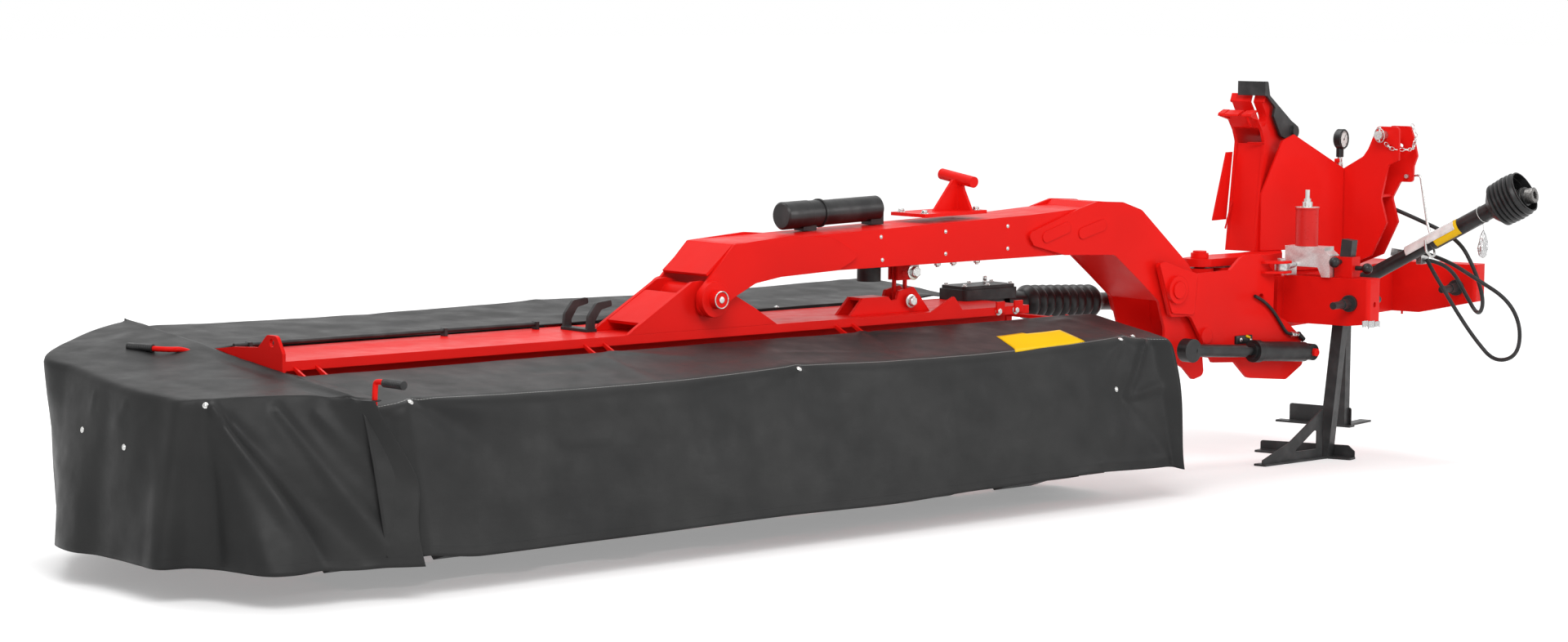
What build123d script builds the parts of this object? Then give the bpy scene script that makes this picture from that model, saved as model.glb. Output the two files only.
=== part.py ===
"""Rear-mounted disc mower with a folding side boom, parked on two stands and its cutter bar.

Units are millimetres and +Z is up. The origin is on the ground under the vertical swing pin. The cutter bar
lies along X with its outer end at -X, and the tractor stands on the -Y side. The headstock is turned about Z
by HITCH_YAW, because the mower is parked swung back on its swing pin: its pieces are built in the HITCH frame.
"""

import os
from math import cos, radians, sin

from build123d import *

os.makedirs("parts", exist_ok=True)

# ---- Driving dimensions --------------------------------------------------------------------------------
HITCH_YAW = 12.7  # headstock about Z, degrees
PLATE = 12.0  # usual plate of the boom and tower
THICK = 15.0  # plate of the frames that carry pins
PIN_FIT = 0.05  # radial play of a pin in its bore
MOVING_GAP = 5.0  # least room between pieces that move past each other

# Headstock, in its own frame
UPPER_PLATE_TOP, LOWER_PLATE_TOP, PIVOT_PLATE = 785.0, 530.0, 30.0
PIVOT_END = 62.0  # radius of the pivot plates' round ends
SWING_PIN = 20.0  # radius
BEAM_LEFT, BEAM_RIGHT, BEAM_FRONT, BEAM_BACK = 350.0, 1462.0, -150.0, 20.0
BEAM_LOW, BEAM_HIGH = 500.0, 700.0
NEAR_ARM, FAR_ARM, ARM_WIDTH = 450.0, 1395.0, 100.0
ARM_FRONT, ARM_TOP = -515.0, 705.0
LOWER_PIN_Y, LOWER_PIN_Z = -435.0, 610.0
LOWER_PIN, LOWER_PIN_COLLAR = 14.2, 18.3
MAST_X, MAST_GAP = 922.5, 85.0
TOP_PIN_Y, TOP_PIN_Z, TOP_PIN = -335.0, 1237.0, 12.7
STAND = 45.0  # square section of the stand legs
NEAR_LEG_X, NEAR_LEG_Y, NEAR_LEG_SLOPE = 455.0, -316.0, 0.1  # the near leg leans forward as it rises
FAR_LEG_X, FAR_LEG_Y = 1390.0, 88.0
PTO_X, PTO_Z, PTO_SLOPE = 920.0, 614.0, 29.0
YOKE_SLOPE = 12.0  # rise of the yoke past the shaft's joint, in degrees
PTO_BORE = 17.5  # radius of the yoke's splined socket
HOSE = 8.0  # radius

# Swing frame, boom and lift cylinder, on X and Z
FOLD_X, FOLD_Z, FOLD_PIN = -280.0, 688.0, 32.0
SWING_FRONT, SWING_BACK = -130.0, 172.0
BOOM_FRONT, BOOM_BACK = -100.0, 150.0
DECK_PIN_X, DECK_PIN_Z, DECK_PIN = -2525.0, 770.0, 30.0
LUG_X, LUG_Z = -255.0, 463.0
LIFT_X, LIFT_Z, LIFT_Y = 435.0, 415.0, -185.0
LIFT_ROD, LIFT_BARREL, LIFT_PIN = 16.0, 38.0, 15.0
BAR_X, BAR_Z = -1265.0, 1127.0  # transport bar

# Deck
SEAM_X, SEAM_GAP = -4212.0, 8.0  # hinge line of the side guard, and the covers' distance from it
DECK_RIGHT = -800.0
COVER_FRONT, COVER_BACK, COVER_FRONT_Z, COVER_SLOPE = -500.0, 790.0, 583.0, 0.0965
SIDE_SLOPE = 0.05  # fall of the side guard's roof towards the outside
CANVAS = 6.0
HEM_Z, FRONT_HEM_OUT, REAR_HEM_OUT = 105.0, 135.0, 90.0
DECK_FRONT, DECK_BACK, DECK_TOP, DECK_PLATE = -73.0, 306.0, 666.0, 12.0
DISC_COUNT, DISC_PITCH, DISC_FIRST_X, DISC_Y = 8, 415.0, -1040.0, -215.0
DISC_RADIUS, KNIFE_SWEEP = 150.0, 202.0
GUARD_HINGE_Y, GUARD_HINGE_Z, GUARD_PIN = -135.0, 606.0, 6.0
GUARD_ARMS = (-4120.0, -3000.0, -1900.0, -870.0)
STRAP_X, STRAP_Y = -1550.0, 22.0  # slotted strap that limits the deck's tilt

HITCH = Plane(origin=(0, 0, 0), x_dir=(cos(radians(HITCH_YAW)), sin(radians(HITCH_YAW)), 0), z_dir=(0, 0, 1))
deck_left = SEAM_X + SEAM_GAP
side_right = SEAM_X - SEAM_GAP


# ---- Planes, points and shapes -------------------------------------------------------------------------
def facing(y):
    """Upright plane across the machine at y: sketches are (x, z), and extrudes go towards -Y."""
    return Plane.XZ.offset(-y)


def along(x):
    """Upright fore-and-aft plane at x: sketches are (y, z), and extrudes go towards +X."""
    return Plane.YZ.offset(x)


def level(z):
    """Level plane at height z: extrudes go up."""
    return Plane.XY.offset(z)


def hitched(plane):
    """The same plane in the headstock's frame."""
    return Plane(HITCH.location * plane.location)


def hitch_point(x, y, z):
    """World point of a point in the headstock's frame."""
    return tuple((HITCH.location * Pos(x, y, z)).position)


def near_leg(z):
    """Point on the near leg's axis at a height, in the headstock's frame."""
    return (NEAR_LEG_X, NEAR_LEG_Y - NEAR_LEG_SLOPE * z, z)


def pto_point(distance):
    """World point on the drive shaft's axis, at a distance from the headstock gearbox."""
    slope = radians(PTO_SLOPE)
    return hitch_point(PTO_X, BEAM_FRONT - cos(slope) * distance, PTO_Z + sin(slope) * distance)


def lift_point(distance):
    """World point on the lift cylinder's axis, at a distance from its base pin."""
    return (LIFT_X + lift_way.X * distance, LIFT_Y, LIFT_Z + lift_way.Z * distance)


def cover_z(y):
    """Height of the covers' top at y."""
    return COVER_FRONT_Z + COVER_SLOPE * (y - COVER_FRONT)


def largest_arc(before, here, after):
    """Largest corner radius that the two runs at a corner allow."""
    first = Vector(*here) - Vector(*before)
    second = Vector(*after) - Vector(*here)
    half_turn = radians(first.get_angle(second) / 2)
    return 0.45 * min(first.length, second.length) * cos(half_turn) / sin(half_turn)


def plate(plane, outline, thickness, mode=Mode.ADD):
    """Adds a flat plate. Outline rows are (across, up) or (across, up, corner radius)."""
    points = [row[:2] for row in outline]
    radii = []
    for index, row in enumerate(outline):
        wanted = row[2] if len(row) > 2 else 0
        radii.append(min(wanted, largest_arc(points[index - 1], points[index], points[(index + 1) % len(points)])))
    with BuildSketch(plane) as face:
        with BuildLine():
            FilletPolyline(*points, radius=radii, close=True)
        make_face()
    extrude(face.sketch, amount=thickness, mode=mode)


def disc(plane, centre, radius, thickness, mode=Mode.ADD):
    """Adds a round boss or pin, or cuts a hole, at a centre on a plane."""
    with BuildSketch(plane) as face:
        with Locations(centre):
            Circle(radius)
    extrude(face.sketch, amount=thickness, mode=mode)


def slot(plane, centre, length, width, angle, thickness, mode=Mode.SUBTRACT):
    """Cuts or adds a round-ended slot, turned by an angle in its plane."""
    with BuildSketch(plane) as face:
        with Locations(centre):
            SlotOverall(length, width, rotation=angle)
    extrude(face.sketch, amount=thickness, mode=mode)


def rod(start, finish, radius, mode=Mode.ADD):
    """Adds a straight round bar between two world points."""
    run = Vector(*finish) - Vector(*start)
    with BuildSketch(Plane(origin=start, z_dir=run)) as face:
        Circle(radius)
    extrude(face.sketch, amount=run.length, mode=mode)


def bar(start, finish, width, depth, frame=Plane.XY, mode=Mode.ADD):
    """Adds a straight rectangular bar between two points of a frame, square to the frame's X axis."""
    first = (frame.location * Pos(*start)).position
    run = (frame.location * Pos(*finish)).position - first
    with BuildSketch(Plane(origin=first, x_dir=frame.x_dir, z_dir=run)) as face:
        Rectangle(width, depth)
    extrude(face.sketch, amount=run.length, mode=mode)


def block(corner, size, mode=Mode.ADD):
    """Adds a box from its lowest corner, in the frame of the part being built."""
    with Locations(corner):
        Box(*size, align=(Align.MIN, Align.MIN, Align.MIN), mode=mode)


def turned(origin, axis, profile, mode=Mode.ADD):
    """Adds a turned piece. Profile rows are (distance along the axis, radius), from one end to the other."""
    side = Vector(0, 0, 1) if abs(Vector(*axis).Z) < 0.9 else Vector(1, 0, 0)
    with BuildSketch(Plane(origin=origin, x_dir=axis, z_dir=Vector(*axis).cross(side))) as half:
        with BuildLine():
            Polyline((profile[0][0], 0), *profile, (profile[-1][0], 0), close=True)
        make_face()
    revolve(half.sketch, axis=Axis(origin, axis), mode=mode)


def tube(points, radius, corner_radii):
    """Adds a round tube of straight runs and tangent arcs, square to its first run."""
    with BuildLine() as route:
        FilletPolyline(*points, radius=corner_radii)
    with BuildSketch(Plane(origin=route.line @ 0, z_dir=route.line % 0)) as section:
        Circle(radius)
    sweep(section.sketch, path=route.line)


def route_radii(name, points):
    """Largest arcs that a route's runs allow, one for each inner point. Prints them."""
    radii = [largest_arc(*corner) for corner in zip(points, points[1:], points[2:])]
    print(name, "radius", HOSE, "corner radii", [round(radius) for radius in radii])
    return radii


# ---- Headstock -----------------------------------------------------------------------------------------
with BuildPart(HITCH) as headstock_beam:
    block((BEAM_LEFT, BEAM_FRONT, BEAM_LOW), (BEAM_RIGHT - BEAM_LEFT, BEAM_BACK - BEAM_FRONT, BEAM_HIGH - BEAM_LOW))
    for arm_x in (NEAR_ARM, FAR_ARM):
        left, right = arm_x - ARM_WIDTH / 2, arm_x + ARM_WIDTH / 2
        arm_plan = [(left, BEAM_FRONT), (left, ARM_FRONT, 16), (right, ARM_FRONT, 16), (right, BEAM_FRONT)]
        plate(hitched(level(BEAM_LOW)), arm_plan, ARM_TOP - BEAM_LOW)
    # Undersides: the near arm is shallower, and the far arm slopes up to its front
    near_under = [(-425, 522), (ARM_FRONT - 1, 533), (ARM_FRONT - 1, 499), (BEAM_FRONT, 499), (BEAM_FRONT, 522)]
    far_under = [(-270, BEAM_LOW), (ARM_FRONT - 1, 556), (ARM_FRONT - 1, 499), (-270, 499)]
    plate(hitched(along(NEAR_ARM - 51)), near_under, ARM_WIDTH + 2, Mode.SUBTRACT)
    plate(hitched(along(FAR_ARM - 51)), far_under, ARM_WIDTH + 2, Mode.SUBTRACT)
    for arm_x in (NEAR_ARM, FAR_ARM):
        disc(hitched(along(arm_x - 60)), (LOWER_PIN_Y, LOWER_PIN_Z), LOWER_PIN_COLLAR + PIN_FIT, 120, Mode.SUBTRACT)
        disc(hitched(facing(ARM_FRONT + 25)), (arm_x, 606), 11, 30, Mode.SUBTRACT)
    # Square socket for the near stand's leg, hole for the gearbox, and the far stand's sleeve behind the beam
    bar(near_leg(490), near_leg(730), STAND + 4, STAND + 4, HITCH, Mode.SUBTRACT)
    disc(hitched(facing(BEAM_BACK)), (MAST_X, 612), 62, BEAM_BACK - BEAM_FRONT, Mode.SUBTRACT)
    block((FAR_LEG_X - 36, BEAM_BACK, 540), (72, 104, 130))
    block((FAR_LEG_X - STAND / 2 - 2, FAR_LEG_Y - STAND / 2 - 2, 539), (STAND + 4, STAND + 4, 132), Mode.SUBTRACT)
headstock_beam.part.label = "headstock_beam"

pivot_outline = [(0, -PIVOT_END), (200, -108), (BEAM_LEFT - 1, -120), (BEAM_LEFT - 1, 19), (200, 55), (0, PIVOT_END)]
lower_plate_bottom = LOWER_PLATE_TOP - PIVOT_PLATE
with BuildPart(HITCH) as pivot_plates:
    for top in (UPPER_PLATE_TOP, LOWER_PLATE_TOP):
        bottom = hitched(level(top - PIVOT_PLATE))
        plate(bottom, pivot_outline, PIVOT_PLATE)
        disc(bottom, (0, 0), PIVOT_END, PIVOT_PLATE)
        disc(bottom, (0, 0), SWING_PIN + PIN_FIT, PIVOT_PLATE, Mode.SUBTRACT)
    # Saddle that carries the upper plate and the tower on the crossbeam
    saddle = [(BEAM_LEFT - 1, -120), (BEAM_LEFT - 1, 19), (620, 19), (620, -20), (440, -120)]
    plate(hitched(level(BEAM_HIGH)), saddle, UPPER_PLATE_TOP - BEAM_HIGH)
pivot_plates.part.label = "pivot_plates"

with BuildPart(HITCH) as swing_pin:
    disc(hitched(level(lower_plate_bottom)), (0, 0), SWING_PIN, UPPER_PLATE_TOP - lower_plate_bottom)
    disc(hitched(level(UPPER_PLATE_TOP)), (0, 0), 34, 20)
    disc(hitched(level(UPPER_PLATE_TOP + 20)), (0, 0), 26, 8)
    disc(hitched(level(lower_plate_bottom - 14)), (0, 0), 30, 14)
swing_pin.part.label = "swing_pin"

# Tower of two side plates, with a catch at their tops for the boom's transport bar
TOWER_FRONT, TOWER_BACK = 0.0, 120.0
CATCH_X, CATCH_Z, CATCH_RADIUS = 487.0, 1300.0, 30.0
LATCH_X, LATCH_Z, LATCH_PIN = 700.0, 1246.0, 14.9
HOOK_PIN = (-390, 1073)
tower_outline = [
    (440, UPPER_PLATE_TOP), (501, 1210, 20), (479, 1256, 20), (443, 1296, 12), (375, 1310, 3), (376, 1320, 3),
    (421, 1335, 4), (463.5, 1281.3), (510.5, 1318.7), (471, 1368, 4), (487, 1397, 4), (507, 1395, 6), (564, 1358, 8),
    (585, 1341, 6), (566, 1313, 12), (610, 1264, 14), (665, 1263, 8), (704, 1276, 18), (756, 1232),
    (756, UPPER_PLATE_TOP),
]
catch_lining = [
    (372, 1310, 2), (376, 1321, 2), (421, 1335), (463.5, 1281.3), (510.5, 1318.7), (471, 1367), (487, 1399, 2),
    (496, 1397, 2), (481, 1366), (519, 1322), (520, 1290, 8), (508, 1271, 8), (487, 1262, 8), (466, 1268, 8),
    (452, 1282), (417, 1325),
]
with BuildPart(HITCH) as tower:
    for back_y in (TOWER_FRONT + PLATE, TOWER_BACK + PLATE):
        plane = hitched(facing(back_y))
        plate(plane, tower_outline, PLATE)
        disc(plane, (CATCH_X, CATCH_Z), CATCH_RADIUS, PLATE, Mode.SUBTRACT)
        disc(plane, (LATCH_X, LATCH_Z), LATCH_PIN + PIN_FIT, PLATE, Mode.SUBTRACT)
        # Guide strips at the catch's mouth, standing proud of each plate
        strip = hitched(facing(back_y + 7))
        plate(strip, [(373, 1310, 3), (377, 1323, 3), (420, 1337, 3), (426, 1329, 3), (386, 1314)], PLATE + 14)
        plate(strip, [(471, 1368), (486, 1399, 4), (509, 1397, 6), (566, 1360, 4), (560, 1352, 3), (506, 1385), (494, 1386),
                      (479, 1362)], PLATE + 14)
    for back_y, width in ((TOWER_FRONT + PLATE + 24, 24), (TOWER_BACK, 70)):
        plate(hitched(facing(back_y)), catch_lining, width)
        disc(hitched(facing(back_y)), (CATCH_X, CATCH_Z), CATCH_RADIUS, width, Mode.SUBTRACT)
    inner = hitched(facing(TOWER_BACK))
    gap = TOWER_BACK - TOWER_FRONT - PLATE
    plate(inner, [(440, UPPER_PLATE_TOP), (506, 1203), (518, 1203), (452, UPPER_PLATE_TOP)], gap)
    plate(inner, [(744, UPPER_PLATE_TOP), (756, UPPER_PLATE_TOP), (756, 1200), (744, 1200)], gap)
    plate(hitched(facing(TOWER_BACK + PLATE + 6)), [(338, 905, 3), (440, 1168, 3), (488, 1168), (446, 905)], 6)
tower.part.label = "tower"

ear_root = [(-266, 1180, 30), (-245, 1150, 20), (-159, 1099), (-20, 1078), (-20, BEAM_HIGH), (BEAM_FRONT, BEAM_HIGH),
            (-290, 760), (-352, 891)]
near_ear = [(-304, 1270, 14), *ear_root, (-325, 985, 20), (-353, 1118, 20), (-399, 1139, 8), (-397, 1270, 16)]
far_ear = [
    (-314, 1270, 12), *ear_root, (-325, 985, 20), (-359, 1050, 10), (-412, 1050, 12), (-414, 1112, 10), (-429, 1153, 14),
    (-413, 1221, 20), (-396, 1270, 14),
]
with BuildPart(HITCH) as mast:
    for left, ear_outline in ((MAST_X - MAST_GAP / 2 - THICK, near_ear), (MAST_X + MAST_GAP / 2, far_ear)):
        plane = hitched(along(left))
        plate(plane, ear_outline, THICK)
        disc(plane, (TOP_PIN_Y, TOP_PIN_Z), TOP_PIN + PIN_FIT, THICK, Mode.SUBTRACT)
        slot(plane, (-352, 1196), 34, 14, 20, THICK)
    disc(hitched(along(MAST_X + MAST_GAP / 2)), HOOK_PIN, 8, THICK, Mode.SUBTRACT)
    within = hitched(along(MAST_X - MAST_GAP / 2))
    plate(within, [(-159, 1099), (-20, 1078), (-20, 1068), (-162, 1089)], MAST_GAP)
    plate(within, [(-230, 1000), (-322, 1000), (-322, 990), (-230, 990)], MAST_GAP)
    # Slanting plate from the tower to the mast, and the rib behind it
    slant = Plane(origin=(470, 0, 0), x_dir=(404, -158, 0), z_dir=(-158, -404, 0))
    plate(hitched(slant), [(0, 786), (0, 1006), (104, 1215), (163, 1238), (424, 1100), (424, 702), (172, 702), (172, 786)], 10)
    block((757, -115, BEAM_HIGH), (10, 135, 460))
mast.part.label = "mast"

with BuildPart() as lower_pins:
    for arm_x in (NEAR_ARM, FAR_ARM):
        for half_length, radius in ((115, LOWER_PIN_COLLAR), (190, LOWER_PIN)):
            ends = [hitch_point(arm_x + side * half_length, LOWER_PIN_Y, LOWER_PIN_Z) for side in (-1, 1)]
            rod(*ends, radius)
        for left in (arm_x - ARM_WIDTH / 2 - 14, arm_x + ARM_WIDTH / 2):
            disc(hitched(along(left)), (LOWER_PIN_Y, LOWER_PIN_Z), 32, 14)
lower_pins.part.label = "lower_pins"

with BuildPart() as top_link_pin:
    rod(hitch_point(820, TOP_PIN_Y, TOP_PIN_Z), hitch_point(1064, TOP_PIN_Y, TOP_PIN_Z), TOP_PIN)
    rod(hitch_point(806, TOP_PIN_Y, TOP_PIN_Z), hitch_point(864, TOP_PIN_Y, TOP_PIN_Z), 17)
top_link_pin.part.label = "top_link_pin"

# Breakaway device that holds the swing frame: clamp block and spring can on the near arm
CAN_X, CAN_Y, CAN_Z = 425.0, -232.0, 820.0
with BuildPart(HITCH) as overload_block:
    block_side = [
        (-352, ARM_TOP), (-352, 790, 8), (-330, 806), (-330, CAN_Z), (-160, CAN_Z), (-160, 742), (-300, 742),
        (-318, ARM_TOP),
    ]
    plate(hitched(along(CAN_X - 38)), block_side, 76)
    block((CAN_X - 38, -172, ARM_TOP), (76, 12, 115))
overload_block.part.label = "overload_block"

with BuildPart() as spring_can:
    can_profile = [
        (0, 44), (142, 44), (142, 47), (151, 47), (151, 20), (170, 20), (170, 14), (182, 14), (182, 9), (216, 9),
    ]
    turned(hitch_point(CAN_X, CAN_Y, CAN_Z), (0, 0, 1), can_profile)
spring_can.part.label = "spring_can"

# Sleeve on the near arm with two sprung locks, which hold the near stand's leg
with BuildPart(HITCH) as stand_locks:
    block((NEAR_LEG_X - 35, -430, ARM_TOP), (70, 75, 80))
    bar(near_leg(700), near_leg(790), STAND + 4, STAND + 4, HITCH, Mode.SUBTRACT)
stand_locks.part.label = "stand_locks"

with BuildPart() as lock_knobs:
    for stem, knob in (((NEAR_LEG_X - 35, -380, 766), (NEAR_LEG_X - 82, -380, 766)),
                       ((NEAR_LEG_X, -430, 742), (NEAR_LEG_X, -478, 742))):
        rod(hitch_point(*stem), hitch_point(*knob), 9)
        with Locations(hitch_point(*knob)):
            Sphere(21)
lock_knobs.part.label = "lock_knobs"

GAUGE_X, GAUGE_Y = 886.0, -132.0
with BuildPart() as gauge:
    turned(hitch_point(GAUGE_X, GAUGE_Y, 1099), (0, 0, 1), [(0, 12), (14, 12), (14, 8), (44, 8), (44, 15), (80, 15)])
    turned(hitch_point(GAUGE_X, GAUGE_Y + 14, 1214), hitch_point(0, -1, 0), [(0, 34), (6, 40), (28, 40), (30, 36)])
gauge.part.label = "gauge"

# ---- Drive shaft to the tractor ------------------------------------------------------------------------
with BuildPart(HITCH) as pto_gearbox:
    disc(hitched(facing(BEAM_BACK)), (MAST_X, 612), 60, BEAM_BACK - BEAM_FRONT)
    block((MAST_X - 70, BEAM_BACK, 545), (140, 130, 134))
pto_gearbox.part.label = "pto_gearbox"

GUARD_TUBE, BELL_START, BELL_END, SHAFT_JOINT = 28.0, 715.0, 868.0, 800.0
pto_way = tuple(Vector(*pto_point(1)) - Vector(*pto_point(0)))
yoke_way = hitch_point(0, -cos(radians(YOKE_SLOPE)), sin(radians(YOKE_SLOPE)))
with BuildPart() as pto_guard:
    guard_profile = [
        (27, 50), (60, 50), (64, GUARD_TUBE), (430, GUARD_TUBE), (430, 33), (BELL_START, 33), (BELL_START + 4, 50),
        (BELL_START + 30, 82), (BELL_START + 60, 90), (BELL_END - 25, 90), (BELL_END, 84),
    ]
    turned(pto_point(0), pto_way, guard_profile)
    bell_bore = [(BELL_START + 20, 50), (BELL_START + 40, 76), (BELL_START + 65, 83), (BELL_END, 78)]
    turned(pto_point(0), pto_way, bell_bore, Mode.SUBTRACT)
    rod(pto_point(BELL_START), pto_point(SHAFT_JOINT - 48), 15)
pto_guard.part.label = "pto_guard"

with BuildPart() as pto_yoke:
    turned(pto_point(SHAFT_JOINT), yoke_way, [
        (-36, 24), (-20, 24), (-20, 38), (22, 38), (22, 30), (48, 30), (48, 36), (68, 36), (68, 30), (104, 30),
    ])
    turned(pto_point(SHAFT_JOINT), yoke_way, [(54, PTO_BORE), (104, PTO_BORE)], Mode.SUBTRACT)
pto_yoke.part.label = "pto_yoke"

# Bent rod that holds the shaft up while the mower is parked, with the hoses' clip
hook_route = [
    (990, -390, 1073), (990, -434, 1078), (984, -470, 894), (976, -500, 815), (958, -520, 770), (915, -528, 760),
    (868, -524, 790), (866, -520, 832),
]
with BuildPart() as pto_hook:
    tube([hitch_point(*point) for point in hook_route], 5, [14, 40, 40, 24, 24, 14])
    rod(hitch_point(1000, *HOOK_PIN), hitch_point(950, *HOOK_PIN), 7.9)
pto_hook.part.label = "pto_hook"

with BuildPart(HITCH) as hose_clip:
    bar((982, -318, 770), (1042, -420, 752), 6, 30, HITCH)
    block((1002, -440, 724), (72, 22, 56))
hose_clip.part.label = "hose_clip"

coupler_route = [
    (992, -300, 947), (1002, -430, 900), (1002, -598, 832), (1002, -668, 722), (1002, -715, 594), (1092, -650, 520),
    (1157, -560, 605), (1132, -520, 690), (1092, -477, 728), (1062, -447, 736),
]
looped_route = [
    (1014, -448, 768), (976, -556, 752), (952, -700, 684), (946, -838, 613), (966, -888, 508), (1027, -849, 383),
    (1081, -727, 348), (1095, -636, 432), (1080, -573, 522), (1064, -508, 628), (1044, -466, 704), (1035, -448, 744),
]
with BuildPart() as coupler_hose:
    coupler_points = [hitch_point(*point) for point in coupler_route]
    tube(coupler_points, HOSE, route_radii("coupler_hose", coupler_points))
coupler_hose.part.label = "coupler_hose"

with BuildPart() as looped_hose:
    looped_points = [hitch_point(*point) for point in looped_route]
    tube(looped_points, HOSE, route_radii("looped_hose", looped_points))
looped_hose.part.label = "looped_hose"

# ---- Stands and latch ----------------------------------------------------------------------------------
with BuildPart(HITCH) as stand_near:
    bar(near_leg(8), near_leg(850), STAND, STAND, HITCH)
    fore_foot = [(430, -20, 4), (500, -20, 4), (500, -330), (492, -430, 10), (440, -430, 10), (430, -340)]
    plate(hitched(level(0)), fore_foot, 8)
    plate(hitched(along(480)), [(-20, 8), (-20, 42, 10), (-400, 52, 14), (-428, 30, 6), (-428, 8)], 6)
    side_foot = Plane(origin=(0, -226, 0), x_dir=(365, -77, 0), z_dir=(-77, -365, 0))
    plate(hitched(side_foot), [(78, 8), (78, 22, 4), (230, 76, 30), (431, 195, 4), (431, 8)], 6)
    plate(hitched(side_foot), [(262, 40, 4), (380, 112, 4), (398, 112, 4), (398, 40, 4)], 6, Mode.SUBTRACT)
    plate(hitched(level(0)), [(67, -262, 3), (431, -338), (431, -288), (67, -212, 3)], 8)
stand_near.part.label = "stand_near"

with BuildPart(HITCH) as stand_far:
    block((FAR_LEG_X - STAND / 2, FAR_LEG_Y - STAND / 2, 8), (STAND, STAND, 680))
    plate(hitched(level(0)), [(1365, 40, 4), (1415, 40, 4), (1415, 385, 4), (1365, 385, 4)], 8)
    plate(hitched(along(1407)), [(55, 8), (55, 78, 10), (340, 78, 10), (340, 8)], 6)
    block((1415, FAR_LEG_Y - 25, 0), (195, 50, 8))
stand_far.part.label = "stand_far"

latch_arm = [
    (458, 1392, 4), (458, 1447, 16), (484, 1447, 10), (500, 1392, 10), (681, 1289, 16), (736, 1266, 26), (734, 1216, 26),
    (668, 1212, 24), (596, 1231, 8), (532, 1312, 6), (546, 1344, 6), (526, 1357, 4), (476, 1390, 4),
]
with BuildPart(HITCH) as latch:
    plate(hitched(facing(TOWER_FRONT - 12)), latch_arm, 10)
    block((458, TOWER_FRONT - 22, 1392), (10, 120, 55))
    hub = TOWER_BACK - TOWER_FRONT - PLATE - 2 * MOVING_GAP
    disc(hitched(facing(TOWER_BACK - MOVING_GAP)), (LATCH_X, LATCH_Z), 22, hub)
    disc(hitched(facing(TOWER_BACK + PLATE + 8)), (LATCH_X, LATCH_Z), LATCH_PIN, TOWER_BACK + PLATE + 42)
    disc(hitched(facing(TOWER_FRONT - 20)), (LATCH_X, LATCH_Z), 24, 14)
latch.part.label = "latch"

# ---- Swing frame ---------------------------------------------------------------------------------------
web_low, web_high = LOWER_PLATE_TOP + 7, UPPER_PLATE_TOP - PIVOT_PLATE - 7
front_outline = [
    (-378, 797, 14), (-150, 741), (30, 746), (90, 790, 20), (120, 800, 10), (200, 800), (285, 722), (281, 568),
    (356, 537, 40), (445, 470, 30), (462, 362, 20), (363, 308, 30), (142, 328, 40), (67, 393), (-59, 400),
    (-110, 470, 30), (-190, 583, 30), (-300, 586, 20),
]
rear_outline = [
    (-378, 797, 14), (-150, 741), (60, 741), (80, 600), (80, 393), (-59, 400), (-110, 470, 30), (-190, 583, 30),
    (-300, 586, 20),
]
doubler_outline = [(-374, 790, 10), (-345, 796, 10), (-162, 742, 14), (-178, 588, 14), (-300, 600, 20)]
with BuildPart() as swing_frame:
    plate(facing(SWING_FRONT + THICK), front_outline, THICK)
    plate(facing(SWING_BACK), rear_outline, THICK)
    # Doubler with the fold pin's boss
    plate(facing(SWING_FRONT), doubler_outline, 8)
    disc(facing(SWING_FRONT - 8), (FOLD_X, FOLD_Z), 52, 14)
    for face_y in (SWING_FRONT + THICK, SWING_BACK):
        disc(facing(face_y), (FOLD_X, FOLD_Z), FOLD_PIN + PIN_FIT, 50, Mode.SUBTRACT)
    disc(facing(SWING_FRONT + THICK), (210, 634), 14, THICK, Mode.SUBTRACT)
    # Pivot tube, and the webs that tie it to the front and rear plates
    disc(level(web_low), (0, 0), 54, web_high - web_low)
    block((-45, SWING_FRONT + THICK, web_low), (90, SWING_BACK - SWING_FRONT - 2 * THICK, 90))
    block((60, -60, web_low), (200, 80, web_high - web_low))
    block((180, SWING_FRONT + THICK, web_low), (80, 60, web_high - web_low))
    disc(level(web_low - 1), (0, 0), SWING_PIN + PIN_FIT, web_high - web_low + 2, Mode.SUBTRACT)
    floor_plan = [
        (-50, SWING_FRONT + THICK), (440, SWING_FRONT + THICK), (440, -70), (80, SWING_BACK - THICK),
        (-50, SWING_BACK - THICK),
    ]
    plate(level(415), floor_plan, PLATE)
    # Ears for the breakaway rod's eye
    for ear_z in (724, 762):
        ear_plan = [(206, SWING_FRONT), (206, -150, 16), (262, -186, 26), (334, -186, 26), (335, SWING_FRONT)]
        plate(level(ear_z), ear_plan, 9)
        disc(level(ear_z), (300, -152), 10 + PIN_FIT, 9, Mode.SUBTRACT)
    # Cylinder base and a small boss
    disc(facing(SWING_FRONT), (LIFT_X, LIFT_Z), 32, 27)
    disc(facing(SWING_FRONT), (LIFT_X, LIFT_Z), LIFT_PIN, 92)
    disc(facing(SWING_FRONT), (-108, 505), 30, 12)
swing_frame.part.label = "swing_frame"

with BuildPart() as fold_pin:
    rod((FOLD_X, -158, FOLD_Z), (FOLD_X, 186, FOLD_Z), FOLD_PIN)
fold_pin.part.label = "fold_pin"

with BuildPart() as overload_eye:
    rod((325, -158, 747), hitch_point(CAN_X - 43, -200, 747), 11)
    disc(level(734), (300, -152), 27, 27)
    disc(level(720), (300, -152), 10, 51)
    disc(level(771), (300, -152), 16, 9)
overload_eye.part.label = "overload_eye"

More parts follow.
